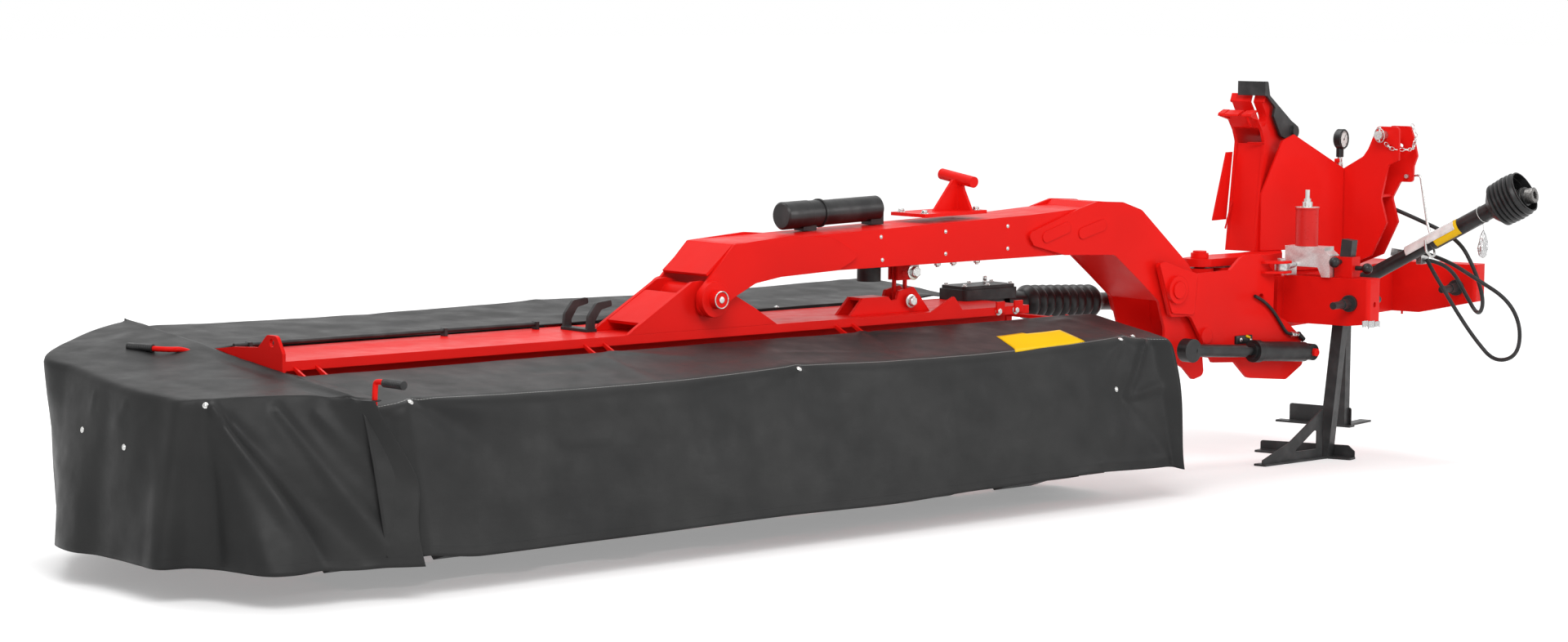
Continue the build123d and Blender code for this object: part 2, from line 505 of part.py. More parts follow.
# ---- Lift cylinder -------------------------------------------------------------------------------------
lift_run = Vector(LUG_X - LIFT_X, 0, LUG_Z - LIFT_Z)
lift_way = lift_run.normalized()
with BuildPart() as lift_barrel:
    turned(lift_point(0), tuple(lift_way), [(8, 26), (36, 26), (36, LIFT_BARREL), (300, LIFT_BARREL), (300, 43), (332, 43),
                                            (332, 30), (342, 30)])
    disc(facing(LIFT_Y + 20), (LIFT_X, LIFT_Z), 32, 40)
    disc(facing(LIFT_Y + 40), (LIFT_X, LIFT_Z), LIFT_PIN + PIN_FIT, 80, Mode.SUBTRACT)
    rod(lift_point(44), lift_point(343), LIFT_ROD + 1, Mode.SUBTRACT)
lift_barrel.part.label = "lift_barrel"

with BuildPart() as lift_rod:
    turned(lift_point(0), tuple(lift_way), [(50, LIFT_ROD), (380, LIFT_ROD), (380, 24), (lift_run.length - 20, 24)])
    disc(facing(LIFT_Y + 22), (LUG_X, LUG_Z), 44, 44)
lift_rod.part.label = "lift_rod"

# ---- Boom ----------------------------------------------------------------------------------------------
clevis_outline = [
    (-2422, 947, 10), (-2584, 790, 40), (-2578, 722, 35), (-2500, 702, 35), (-2446, 756, 20), (-2410, 776, 20),
    (-2329, 812, 40), (-2216, 828, 40), (-1950, 838, 20), (-1850, 884, 14), (-1982, 951), (-2171, 965),
]
gooseneck_outline = [
    (-1032, 925, 20), (-1000, 880, 20), (-840, 840, 20), (-577, 829, 40), (-452, 736), (-334, 645, 30), (-298, 540, 40),
    (-300, 440, 40), (-190, 385, 20), (-138, 338, 16), (-76, 352, 24), (-92, 470), (-122, 560), (-128, 721),
    (-176, 778), (-434, 990, 40), (-536, 1022, 30), (-669, 1029, 30), (-767, 1005),
]
inner_back, box_width = BOOM_BACK - PLATE, BOOM_BACK - BOOM_FRONT - 2 * PLATE
with BuildPart() as boom_beam:
    plate(facing(inner_back), [(-2404, 950), (-2404, 838), (-2216, 836), (-700, 841), (-700, 1008), (-1000, 992)], box_width)
    hollow = [(-2396, 942), (-2396, 846), (-2216, 844), (-708, 849), (-708, 1000), (-1000, 984)]
    plate(facing(inner_back - 8), hollow, box_width - 16, Mode.SUBTRACT)
    block((STRAP_X - 62, -20, 830), (124, 110, 30), Mode.SUBTRACT)
    # Sloping end plate over the deck pivot
    plate(facing(inner_back), [(-2404, 950), (-2422, 947), (-2540, 852), (-2532, 844), (-2416, 936), (-2404, 938)], box_width)
boom_beam.part.label = "boom_beam"

with BuildPart() as boom_sides:
    for back_y in (BOOM_BACK, BOOM_FRONT + PLATE):
        plate(facing(back_y), clevis_outline, PLATE)
        plate(facing(back_y), gooseneck_outline, PLATE)
        disc(facing(back_y), (FOLD_X, FOLD_Z), FOLD_PIN + PIN_FIT, PLATE, Mode.SUBTRACT)
    for back_y, length in ((BOOM_FRONT, 24), (BOOM_BACK + 14, 14)):
        disc(facing(back_y), (DECK_PIN_X, DECK_PIN_Z), 60, length)
    for back_y in (BOOM_BACK + 14, BOOM_FRONT + PLATE):
        disc(facing(back_y), (DECK_PIN_X, DECK_PIN_Z), DECK_PIN + PIN_FIT, 40, Mode.SUBTRACT)
    for centre, turn in (((-886, 925), 16), ((-698, 929), 14)):
        slot(facing(BOOM_FRONT), centre, 150, 42, turn, 4, Mode.ADD)
boom_sides.part.label = "boom_sides"

# Closing plates between the gooseneck's sides: open under the bend, so that the sides straddle the swing frame
with BuildPart() as gooseneck_plates:
    lower_strip = [(-699, 841), (-699, 831), (-577, 831), (-452, 738), (-334, 647), (-334, 659), (-448, 748), (-573, 841)]
    upper_strip = [(-699, 1008), (-669, 1027), (-540, 1020), (-540, 1010), (-665, 1017), (-699, 996)]
    for strip in (lower_strip, upper_strip):
        plate(facing(inner_back), strip, box_width)
gooseneck_plates.part.label = "gooseneck_plates"

with BuildPart() as deck_pin:
    rod((DECK_PIN_X, -152, DECK_PIN_Z), (DECK_PIN_X, 180, DECK_PIN_Z), DECK_PIN)
deck_pin.part.label = "deck_pin"

with BuildPart() as transport_bar:
    plate(facing(112), [(-1510, 999), (-1206, 1004), (-1206, 1016), (-1510, 1011)], 176)
    plate(facing(31), [(-1392, 1008), (-1294, 1122, 8), (-1242, 1122, 8), (-1216, 1012)], 12)
    plate(along(BAR_X - 6), [(-52, 1008), (102, 1008), (45, 1110), (5, 1110)], 12)
    rod((BAR_X - 5, -62, BAR_Z - 11), (BAR_X + 5, 112, BAR_Z + 11), 20)
transport_bar.part.label = "transport_bar"

with BuildPart() as canister:
    turned((-2068, 70, 1019), (1, 0, 0.027), [
        (0, 42), (6, 48), (118, 48), (118, 46), (170, 46), (170, 50), (178, 50), (178, 44), (444, 44), (452, 36),
    ])
    for foot_x, foot_z in ((-1985, 966), (-1668, 975)):
        block((foot_x, 45, foot_z), (60, 50, 40))
canister.part.label = "canister"

# Bolt that runs in the slotted strap, and the rubber buffer under the boom
with BuildPart() as strap_bolt:
    rod((STRAP_X, STRAP_Y - 24, 800), (STRAP_X, STRAP_Y + 26, 800), 11.5)
    for side_y in (STRAP_Y - 23, STRAP_Y + 15):
        block((STRAP_X - 32, side_y, 778), (64, 10, 64))
strap_bolt.part.label = "strap_bolt"

BUFFER_X, BUFFER_Y = -1662.0, 60.0
with BuildPart() as boom_buffer:
    disc(level(776), (BUFFER_X, BUFFER_Y), 42, 50)
    block((BUFFER_X - 45, BUFFER_Y - 55, 826), (90, 110, 11))
boom_buffer.part.label = "boom_buffer"

# ---- Deck ----------------------------------------------------------------------------------------------
with BuildPart() as top_beam:
    beam_left, beam_right = deck_left + 12, -995
    deck_span = DECK_BACK - DECK_FRONT
    block((beam_left, DECK_FRONT, DECK_TOP - DECK_PLATE), (beam_right - beam_left, deck_span, DECK_PLATE))
    block((beam_left, DECK_FRONT, DECK_TOP - 30), (beam_right - beam_left, 10, 30 - DECK_PLATE))
    block((-4140, 15, 556), (3110, 215, DECK_TOP - DECK_PLATE - 556))
    end_plate = [
        (DECK_FRONT, 630), (DECK_FRONT, 690, 8), (-40, 742, 22), (10, 742, 22), (60, 700, 20), (200, 690),
        (DECK_BACK, 676), (DECK_BACK, 640),
    ]
    plate(along(deck_left), end_plate, 12)
    disc(along(deck_left), (-15, 718), 12, 12, Mode.SUBTRACT)
    for bolt_x in (-1145, -1054):
        block((bolt_x - 20, DECK_FRONT - 8, DECK_TOP - 22), (40, 8, 42))
    plate(facing(DECK_FRONT + 10), [(-1480, DECK_TOP), (-1400, 704, 6), (-1372, 716, 6), (-1330, DECK_TOP)], 10)
    # Hinges of the front guard: a pin and two ears at each arm
    for arm_x in GUARD_ARMS[:3]:
        disc(along(arm_x - 44), (GUARD_HINGE_Y, GUARD_HINGE_Z), GUARD_PIN, 88)
        for left in (arm_x - 44, arm_x + 36):
            ear = [(-146, 595, 4), (-146, 617, 4), (DECK_FRONT, 648), (DECK_FRONT, 637)]
            plate(along(left), ear, 8)
top_beam.part.label = "top_beam"

bracket_outline = [
    (-2858, DECK_TOP), (-2830, 686), (-2585, 827, 12), (-2540, 829, 14), (-2475, 812, 10), (-2389, 769), (-2312, 728, 20),
    (-2208, DECK_TOP),
]
with BuildPart() as pivot_bracket:
    for back_y in (-58, 123):
        plate(facing(back_y), bracket_outline, THICK)
    disc(facing(108), (DECK_PIN_X, DECK_PIN_Z), 46, 166)
    disc(facing(123), (DECK_PIN_X, DECK_PIN_Z), DECK_PIN + PIN_FIT, 196, Mode.SUBTRACT)
    plate(facing(108), [(-2800, 702), (-2640, 793), (-2634, 784), (-2794, 692)], 166)
pivot_bracket.part.label = "pivot_bracket"

# Saddle with the slotted strap, under the boom
with BuildPart() as link_bracket:
    saddle_side = [
        (-1822, DECK_TOP), (-1762, 726, 4), (-1640, 726, 4), (-1628, 712, 6), (-1600, 712, 6), (-1590, 742, 10),
        (-1520, 756, 16), (-1470, 700, 14), (-1440, DECK_TOP),
    ]
    for back_y in (STRAP_Y + 40, STRAP_Y - 28):
        plate(facing(back_y), saddle_side, PLATE)
    block((-1762, STRAP_Y - 28, 716), (118, 56, 10))
    strap = [(STRAP_X - 32, 680), (STRAP_X - 32, 910, 8), (STRAP_X + 32, 910, 8), (STRAP_X + 32, 680)]
    plate(facing(STRAP_Y + 5), strap, 10)
    slot(facing(STRAP_Y + 5), (STRAP_X, 806), 192, 40, 90, 10)
    rod((STRAP_X + 14, STRAP_Y - 52, 700), (STRAP_X + 14, STRAP_Y + 52, 700), 13)
link_bracket.part.label = "link_bracket"

# Two-horned hook, and its rod along the deck's rear edge
horn = [
    (-2900, 676), (-2895, 720, 20), (-2860, 762, 24), (-2800, 768, 6), (-2796, 748, 6), (-2842, 738, 12), (-2868, 700, 12),
    (-2868, 676),
]
with BuildPart() as hook_bracket:
    for back_y in (225, 100):
        plate(facing(back_y), horn, 12)
    block((-2905, 88, DECK_TOP), (44, 137, 10))
    rod((-4150, 277, 684), (-2960, 277, 684), 7)
    for stay_x in (-4100, -3350, -2975):
        block((stay_x, 265, DECK_TOP), (12, 24, 26))
hook_bracket.part.label = "hook_bracket"

with BuildPart() as deck_gearbox:
    for corner, length, depth, low, high in ((-1090, 278, 142, DECK_TOP, 706), (-1084, 266, 130, 706, 718)):
        left, front = corner, 233 - depth / 2
        gearbox_plan = [
            (left, front, 18), (left + length, front, 18), (left + length, front + depth, 18), (left, front + depth, 18),
        ]
        plate(level(low), gearbox_plan, high - low)
    block((-994, 232, 600), (182, 72, DECK_TOP - 600))
deck_gearbox.part.label = "deck_gearbox"

with BuildPart() as drive_guard:
    rod((-805.2, 252, 648), (-696, 252, 630), 42)
    rod((-700, 252, 628), (-306, 252, 618), 65)
    rod((-310, 252, 618), (-150, 252, 612), 34)
drive_guard.part.label = "drive_guard"

with BuildPart() as cutter_bar:
    bar_section = [
        (DISC_Y - 118, 71), (DISC_Y - 60, 60), (DISC_Y + 110, 30), (DISC_Y + 150, 40), (DISC_Y + 120, 76),
        (DISC_Y - 95, 76),
    ]
    plate(along(-4130), bar_section, 3270)
    skid = [
        (DISC_Y - 105, 68, 4), (DISC_Y - 30, 50, 30), (DISC_Y + 90, 26, 30), (DISC_Y + 168, 0, 4), (DISC_Y + 190, 20, 6),
    ]
    for number in range(DISC_COUNT):
        disc_x = DISC_FIRST_X - number * DISC_PITCH
        plate(along(disc_x - 95), skid, 190)
        disc(level(70), (disc_x, DISC_Y), 42, 12)
cutter_bar.part.label = "cutter_bar"

with BuildPart() as deck_frame:
    # End arms from the beam down to the cutter bar, and the rear tube that carries the rear cover
    arm_outline = [(-155, 77), (-155, 120), (60, 140), (110, 200, 20), (110, 556), (190, 556), (190, 130, 30), (20, 77)]
    for arm_x in (-4136, -900):
        plate(along(arm_x), arm_outline, 30)
    tube_y = COVER_BACK - 60
    rod((-4170, tube_y, 662), (-1030, tube_y, 662), 17)
    for tie_x in (-4120, -2600, -1060):
        bar((tie_x, 233, 592), (tie_x, tube_y, 645), 30, 30)
    # Right end's bracket, with the front guard's fourth hinge
    block((-900, 110, 526), (30, 80, 30))
    block((-1030, 110, 556), (160, 80, 14))
    block((-884, -112, 603), (28, 302, 12))
    block((-884, 150, 560), (28, 40, 50))
    disc(along(GUARD_ARMS[3] - 44), (GUARD_HINGE_Y, GUARD_HINGE_Z), GUARD_PIN, 88)
    for left in (GUARD_ARMS[3] - 44, GUARD_ARMS[3] + 36):
        plate(along(left), [(-146, 595, 4), (-146, 617, 4), (-100, 624), (-100, 597)], 8)
    block((GUARD_ARMS[3] - 44, -112, 603), (88, 14, 12))
deck_frame.part.label = "deck_frame"

for number in range(DISC_COUNT):
    disc_x = DISC_FIRST_X - number * DISC_PITCH
    name = f"disc_{number + 1}"
    with BuildPart() as cutting_disc:
        turned((disc_x, DISC_Y, 84), (0, 0, 1), [
            (0, DISC_RADIUS - 12), (8, DISC_RADIUS), (14, DISC_RADIUS - 4), (26, 110), (40, 60), (46, 40),
        ])
        for side in (-1, 1):
            knife_left = disc_x + min(side * (DISC_RADIUS - 20), side * KNIFE_SWEEP)
            block((knife_left, DISC_Y - 21, 86), (KNIFE_SWEEP - DISC_RADIUS + 20, 42, 5))
    cutting_disc.part.label = name
    export_step(cutting_disc.part, f"parts/{name}.step")

# ---- Canvas covers and guards --------------------------------------------------------------------------
with BuildPart() as rear_cover:
    back_z = cover_z(COVER_BACK)
    hem_y = COVER_BACK + REAR_HEM_OUT
    rear_profile = [
        (318, 674), (COVER_BACK, back_z, 12), (hem_y, HEM_Z + 25), (hem_y - CANVAS, HEM_Z + 25),
        (COVER_BACK - CANVAS, back_z - CANVAS, 8), (318, 674 - CANVAS),
    ]
    plate(along(deck_left), rear_profile, -1002 - deck_left)
    plate(level(0), [(-1060, hem_y + 9), (-1001, hem_y + 9), (-1001, 640)], 900, Mode.SUBTRACT)
rear_cover.part.label = "rear_cover"

with BuildPart() as front_cover:
    hem_y = COVER_FRONT - FRONT_HEM_OUT
    top_y = GUARD_HINGE_Y - 13
    top_z = cover_z(top_y) + 12
    front_profile = [
        (top_y, top_z), (COVER_FRONT, COVER_FRONT_Z, 12), (hem_y, HEM_Z), (hem_y + CANVAS, HEM_Z),
        (COVER_FRONT + CANVAS, COVER_FRONT_Z - CANVAS, 8), (top_y, top_z - CANVAS),
    ]
    plate(along(deck_left), front_profile, DECK_RIGHT - deck_left)
front_cover.part.label = "front_cover"

with BuildPart() as front_guard_frame:
    # Tube under the front edge, with arms that end in hinge barrels on the guard's axis
    front_tube = COVER_FRONT + 28
    rod((-4180, front_tube, 538), (-830, front_tube, 538), 16)
    for arm_x in GUARD_ARMS:
        bar((arm_x, front_tube + 8, 540), (arm_x, GUARD_HINGE_Y - 8, GUARD_HINGE_Z - 4), 25, 25)
        disc(along(arm_x - 30), (GUARD_HINGE_Y, GUARD_HINGE_Z), 14, 60)
        disc(along(arm_x - 31), (GUARD_HINGE_Y, GUARD_HINGE_Z), GUARD_PIN + PIN_FIT, 62, Mode.SUBTRACT)
front_guard_frame.part.label = "front_guard_frame"


def guard_body(inset, low_z, seam, mode):
    """Adds the eight-sided flared solid of the side guard, drawn in from its outer faces by an inset."""
    roof = Plane(
        origin=(side_right, 0, cover_z(0) - inset),
        x_dir=(1, 0, SIDE_SLOPE),
        z_dir=(-SIDE_SLOPE, -COVER_SLOPE, 1),
    )
    # Rows run from the seam's front end round to its back end, as (out from the seam, y)
    foot_rows = [
        (seam, COVER_FRONT - 100 + inset), (-150, COVER_FRONT - 60 + inset), (-355 + inset, COVER_FRONT + inset),
        (-533 + inset, -226), (-555 + inset, 228), (-385 + inset, 550 - inset), (-130, COVER_BACK + 70 - inset),
        (seam, COVER_BACK + 90 - inset),
    ]
    roof_rows = [
        (seam, COVER_FRONT + inset), (-140, -415 + inset), (-300 + inset, -303 + inset), (-437 + inset, -213),
        (-480 + inset, 300), (-475 + inset, 510 - inset), (-140, COVER_BACK + 20 - inset), (seam, COVER_BACK + 40 - inset),
    ]
    with BuildSketch(level(low_z)) as foot:
        with BuildLine():
            Polyline(*[(side_right + x, y) for x, y in foot_rows], close=True)
        make_face()
    corners = []
    for x, y in roof_rows:
        corner = roof.to_local_coords(Vector(side_right + x, y, cover_z(y) + SIDE_SLOPE * x - inset))
        corners.append((corner.X, corner.Y))
    with BuildSketch(roof) as top:
        with BuildLine():
            Polyline(*corners, close=True)
        make_face()
    loft([foot.sketch.face(), top.sketch.face()], ruled=True, mode=mode)


with BuildPart() as side_cover:
    guard_body(0, HEM_Z, 0, Mode.ADD)
    guard_body(CANVAS, HEM_Z - 1, 1, Mode.SUBTRACT)
side_cover.part.label = "side_cover"

with BuildPart() as side_guard_frame:
    for bar_y in (60, 480):
        start_z, end_z = cover_z(bar_y) - 26, cover_z(bar_y) - 46
        with BuildSketch(along(side_right - 14)) as section:
            with Locations((bar_y, start_z)):
                Rectangle(26, 26)
        with BuildSketch(along(side_right - 400)) as section_out:
            with Locations((bar_y, end_z)):
                Rectangle(26, 26)
        loft([section.sketch.face(), section_out.sketch.face()])
side_guard_frame.part.label = "side_guard_frame"

for piece in (
    headstock_beam, pivot_plates, swing_pin, tower, mast, lower_pins, top_link_pin, overload_block, spring_can,
    stand_locks, lock_knobs, gauge, pto_gearbox, pto_guard, pto_yoke, pto_hook, hose_clip, coupler_hose, looped_hose,
    stand_near, stand_far, latch, swing_frame, fold_pin, overload_eye, lift_barrel, lift_rod, boom_beam, boom_sides,
    gooseneck_plates, deck_pin, transport_bar, canister, strap_bolt, boom_buffer, top_beam, pivot_bracket,
    link_bracket, hook_bracket, deck_gearbox, drive_guard, cutter_bar, deck_frame, rear_cover, front_cover,
    front_guard_frame, side_cover, side_guard_frame,
):
    export_step(piece.part, f"parts/{piece.part.label}.step")
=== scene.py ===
"""Canvas, finishes and fittings of a rear-mounted disc mower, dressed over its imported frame."""
import logging
from dataclasses import dataclass, field
from enum import Enum
from math import cos, exp, pi, radians, sin
from typing import Iterable, Optional, Sequence

import bmesh
import bpy
from mathutils import Matrix, Vector, noise


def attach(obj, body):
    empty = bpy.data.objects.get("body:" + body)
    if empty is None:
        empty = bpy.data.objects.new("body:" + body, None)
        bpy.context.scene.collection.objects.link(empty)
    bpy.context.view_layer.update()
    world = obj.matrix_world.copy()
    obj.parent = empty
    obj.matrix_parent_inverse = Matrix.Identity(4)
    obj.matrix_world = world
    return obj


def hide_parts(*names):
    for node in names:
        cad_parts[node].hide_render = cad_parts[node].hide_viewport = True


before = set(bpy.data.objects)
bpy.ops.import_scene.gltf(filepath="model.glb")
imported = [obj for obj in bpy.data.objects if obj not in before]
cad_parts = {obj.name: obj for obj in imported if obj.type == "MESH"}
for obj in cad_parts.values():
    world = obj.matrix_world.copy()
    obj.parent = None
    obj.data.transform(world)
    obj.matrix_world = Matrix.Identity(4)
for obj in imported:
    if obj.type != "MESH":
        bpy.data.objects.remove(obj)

log = logging.getLogger("disc mower")

Colour = tuple[float, float, float]
Place = tuple[float, float, float]
Pair = tuple[float, float]
Socket = bpy.types.NodeSocket
Material = bpy.types.Material
Mesh = bmesh.types.BMesh
Piece = bpy.types.Object

HITCH_YAW = 12.7  # the headstock's turn about +Z, in degrees
HITCH = Matrix.Rotation(radians(HITCH_YAW), 4, "Z")
UP = Vector((0, 0, 1))


class Body(str, Enum):
    """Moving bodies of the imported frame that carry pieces."""

    HEADSTOCK = "headstock"
    SHAFT = "pto_joint"
    SWING_ARM = "swing_arm"
    LIFT_TUBE = "lift_tube"
    BOOM = "boom"
    DECK = "deck"
    FRONT_GUARD = "front_guard"
    SIDE_GUARD = "side_guard"


class Slot(str, Enum):
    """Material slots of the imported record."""

    RED = "red_paint"
    ZINC = "zinc"
    BLACK = "black"
    RUBBER = "rubber"
    STEEL = "bare_steel"
    GREY = "grey_paint"
    CANVAS = "canvas"


def hitched(x: float, y: float, z: float) -> Vector:
    """World point of a point in the headstock's own frame."""
    return HITCH @ Vector((x, y, z))


def smooth(value: float) -> float:
    """Smooth step of a value, from 0 at 0 to 1 at 1."""
    value = min(max(value, 0.0), 1.0)
    return value * value * (3 - 2 * value)


def between(start: float, end: float, part: float) -> float:
    """The number a part of the way from start to end."""
    return start + (end - start) * part


def along_curve(points: Sequence[Vector], part: float) -> Vector:
    """Finds a point on the smooth curve through a row of points.

    Args:
        points: the points that the curve passes, in order.
        part: how far along the row, from 0 to 1.

    Returns:
        The point on the curve.
    """
    reach = part * (len(points) - 1)
    first = min(int(reach), len(points) - 2)
    t = reach - first
    before = points[max(first - 1, 0)]
    a, b = points[first], points[first + 1]
    after = points[min(first + 2, len(points) - 1)]
    return 0.5 * (
        2 * a + (b - before) * t + (2 * before - 5 * a + 4 * b - after) * t * t
        + (3 * a - before - 3 * b + after) * t ** 3
    )


def axes(first: Vector, second: Vector, third: Vector) -> Matrix:
    """The turn that lays x, y and z along three directions."""
    return Matrix((first, second, third)).transposed().to_4x4()


# ---- Finishes ------------------------------------------------------------------------------------------
def add_node(
    tree: bpy.types.NodeTree, kind: str, inputs: Optional[dict] = None, **settings: object,
) -> bpy.types.Node:
    """Adds a node to a tree.

    Args:
        tree: the node tree.
        kind: the node's type.
        inputs: sockets by name or number, each with a constant or the socket that feeds it.
        settings: the node's own properties.

    Returns:
        The new node.
    """
    node = tree.nodes.new(kind)
    for name, value in settings.items():
        setattr(node, name, value)
    for name, value in (inputs or {}).items():
        if isinstance(value, Socket):
            tree.links.new(value, node.inputs[name])
        else:
            node.inputs[name].default_value = value
    return node


def calculate(tree: bpy.types.NodeTree, operation: str, first: object, second: object = 0.5) -> Socket:
    """Result of a sum on two values in a tree."""
    return add_node(tree, "ShaderNodeMath", {0: first, 1: second}, operation=operation).outputs[0]


class Shader:
    """A material in the making: one surface shader, and the nodes that vary it."""

    def __init__(self, name: str, colour: Colour, roughness: float, metallic: float = 0.0) -> None:
        """Starts a material with a plain colour, roughness and metal part."""
        self.material = bpy.data.materials.new(name)
        self.material.use_nodes = True
        self.material.diffuse_color = (*colour, 1.0)
        self.tree = self.material.node_tree
        self.surface = self.tree.nodes["Principled BSDF"]
        self.set(**{"Base Color": (*colour, 1.0), "Roughness": roughness, "Metallic": metallic})

    def set(self, **values: object) -> None:
        """Sets constants straight on the surface shader's sockets."""
        for name, value in values.items():
            self.surface.inputs[name].default_value = value

    def add(self, kind: str, inputs: Optional[dict] = None, **settings: object) -> bpy.types.Node:
        """Adds a node to the material."""
        return add_node(self.tree, kind, inputs, **settings)

    def place(self, space: str = "Object", stretch: Place = (1, 1, 1)) -> Socket:
        """Coordinates on the piece, in metres, with each axis stretched."""
        source = self.add("ShaderNodeTexCoord").outputs[space]
        return self.add("ShaderNodeMapping", {"Vector": source, "Scale": stretch}).outputs[0]

    def grain(self, scale: float, detail: float = 3.0, place: Optional[Socket] = None) -> Socket:
        """Soft noise of a scale per metre."""
        inputs = {"Vector": place or self.place(), "Scale": scale, "Detail": detail}
        return self.add("ShaderNodeTexNoise", inputs).outputs["Fac"]

    def spread(
        self, source: Socket, low: float, high: float, start: float = 0.3, end: float = 0.7,
    ) -> Socket:
        """Maps a noise from start..end to low..high."""
        inputs = {"Value": source, "From Min": start, "From Max": end, "To Min": low, "To Max": high}
        return self.add("ShaderNodeMapRange", inputs).outputs[0]

    def mix(self, part: Socket, first: object, second: object) -> Socket:
        """Mixes two colours, given as colours or as sockets."""
        node = self.add("ShaderNodeMix", {"Factor": part}, data_type="RGBA")
        for socket, value in ((node.inputs[6], first), (node.inputs[7], second)):
            if isinstance(value, Socket):
                self.tree.links.new(value, socket)
            else:
                socket.default_value = (*value, 1.0)
        return node.outputs[2]

    def math(self, operation: str, first: object, second: object = 0.5) -> Socket:
        """Result of a sum on two values."""
        return calculate(self.tree, operation, first, second)

    def feed(self, name: str, source: Socket) -> None:
        """Leads a socket into the surface shader."""
        self.tree.links.new(source, self.surface.inputs[name])

    def roughen(self, grain: Pair, roughness: float, less: float, more: float) -> None:
        """Varies the roughness with a noise of a scale and detail."""
        self.feed("Roughness", self.spread(self.grain(*grain), roughness - less, roughness + more))

    def emboss(self, layers: Sequence[tuple[Socket, float, float]], bevel: float = 0.0) -> None:
        """Gives the surface its relief.

        Args:
            layers: height, strength and depth in metres of each layer.
            bevel: radius in metres that rounds the sharp edges of the solids.
        """
        normal = None
        if bevel:
            normal = self.add("ShaderNodeBevel", {"Radius": bevel}, samples=4).outputs[0]
        for height, strength, depth in layers:
            inputs = {"Height": height, "Strength": strength, "Distance": depth}
            if normal is not None:
                inputs["Normal"] = normal
            normal = self.add("ShaderNodeBump", inputs).outputs[0]
        self.feed("Normal", normal)


@dataclass(frozen=True)
class GlossPaint:
    """Sprayed gloss enamel with a faint orange peel."""

    name: str
    colour: Colour
    roughness: float = 0.36
    coat: float = 0.045
    gloss: float = 0.06
    edge_radius: float = 0.003

    def material(self) -> Material:
        """Builds the paint."""
        shader = Shader(self.name, self.colour, self.roughness)
        shader.set(**{"Coat Weight": self.coat, "Coat Roughness": 0.07, "Specular IOR Level": self.gloss})
        deep = tuple(0.88 * part for part in self.colour)
        shader.feed("Base Color", shader.mix(shader.spread(shader.grain(2.3), 0, 1), deep, self.colour))
        shader.roughen((14, 5), self.roughness, 0.05, 0.1)
        peel, waves = shader.grain(420, 2), shader.grain(9, 2)
        shader.emboss([(peel, 0.1, 0.0004), (waves, 0.12, 0.002)], self.edge_radius)
        return shader.material


@dataclass(frozen=True)
class CoatedCanvas:
    """Heavy woven cloth with a satin plastic coat, welded hems and a stitched edge."""

    name: str
    colour: Colour = (0.0165, 0.0167, 0.0169)
    dust: Colour = (0.026, 0.026, 0.0258)
    roughness: float = 0.42
    weave: float = 0.0011
    seam: float = 0.0
    hem: float = 0.0
    length: float = 1.0
    stitches_per_metre: float = 95.0
    thread: Colour = (0.32, 0.32, 0.31)

    def stitches(self, shader: Shader, across: Socket, down: Socket) -> Socket:
        """Mask of the row of stitches that runs along the cover at the seam's distance."""
        near = shader.math("COMPARE", down, self.seam)
        near.node.inputs[2].default_value = 0.0012
        pitch = shader.math("FRACT", shader.math("MULTIPLY", across, self.stitches_per_metre), 0)
        dashes = shader.math("GREATER_THAN", pitch, 0.3)
        return shader.math("MULTIPLY", near, dashes)

    def material(self) -> Material:
        """Builds the canvas on the cover's own coordinates: metres along it and down it."""
        shader = Shader(self.name, self.colour, self.roughness)
        shader.set(**{"Specular IOR Level": 0.15})
        parts = shader.add("ShaderNodeSeparateXYZ", {0: shader.place("UV")}).outputs
        across, down = parts[0], parts[1]
        cloudy = shader.spread(shader.grain(3.2, 5), 0, 1)
        colour = shader.mix(cloudy, self.colour, self.dust)
        threads = []
        for way in (across, down):
            turns = shader.math("MULTIPLY", way, 2 * pi / self.weave)
            threads.append(shader.math("SINE", turns, 0))
        weave = shader.math("MULTIPLY", threads[0], threads[1])
        layers = [
            (shader.grain(5.5, 4, shader.place("Object", (0.45, 1, 1.6))), 0.5, 0.006),
            (shader.grain(38, 4), 0.18, 0.0015),
            (weave, 0.12, 0.00025),
        ]
        if self.seam:
            stitches = self.stitches(shader, across, down)
            colour = shader.mix(stitches, colour, self.thread)
            layers.append((stitches, 0.6, 0.0008))
        if self.hem:
            band = shader.math("GREATER_THAN", down, self.length - self.hem)
            layers.append((band, 0.9, 0.0016))
        shader.feed("Base Color", colour)
        shader.roughen((11, 5), self.roughness, 0.05, 0.12)
        shader.emboss(layers)
        return shader.material


@dataclass(frozen=True)
class Galvanised:
    """Zinc plate: bright metal with soft crystals and duller patches."""

    name: str
    colour: Colour = (0.66, 0.66, 0.65)
    dull: Colour = (0.42, 0.42, 0.42)
    roughness: float = 0.3
    crystal: float = 90.0
    edge_radius: float = 0.0015

    def material(self) -> Material:
        """Builds the metal."""
        shader = Shader(self.name, self.colour, self.roughness, 0.92)
        cells = shader.add("ShaderNodeTexVoronoi", {"Vector": shader.place(), "Scale": self.crystal})
        patch = shader.spread(cells.outputs["Distance"], 0, 1, 0.1, 0.7)
        shader.feed("Base Color", shader.mix(patch, self.colour, self.dull))
        shader.roughen((26, 5), self.roughness, 0.07, 0.15)
        shader.emboss([(shader.grain(300, 3), 0.12, 0.0003)], self.edge_radius)
        return shader.material


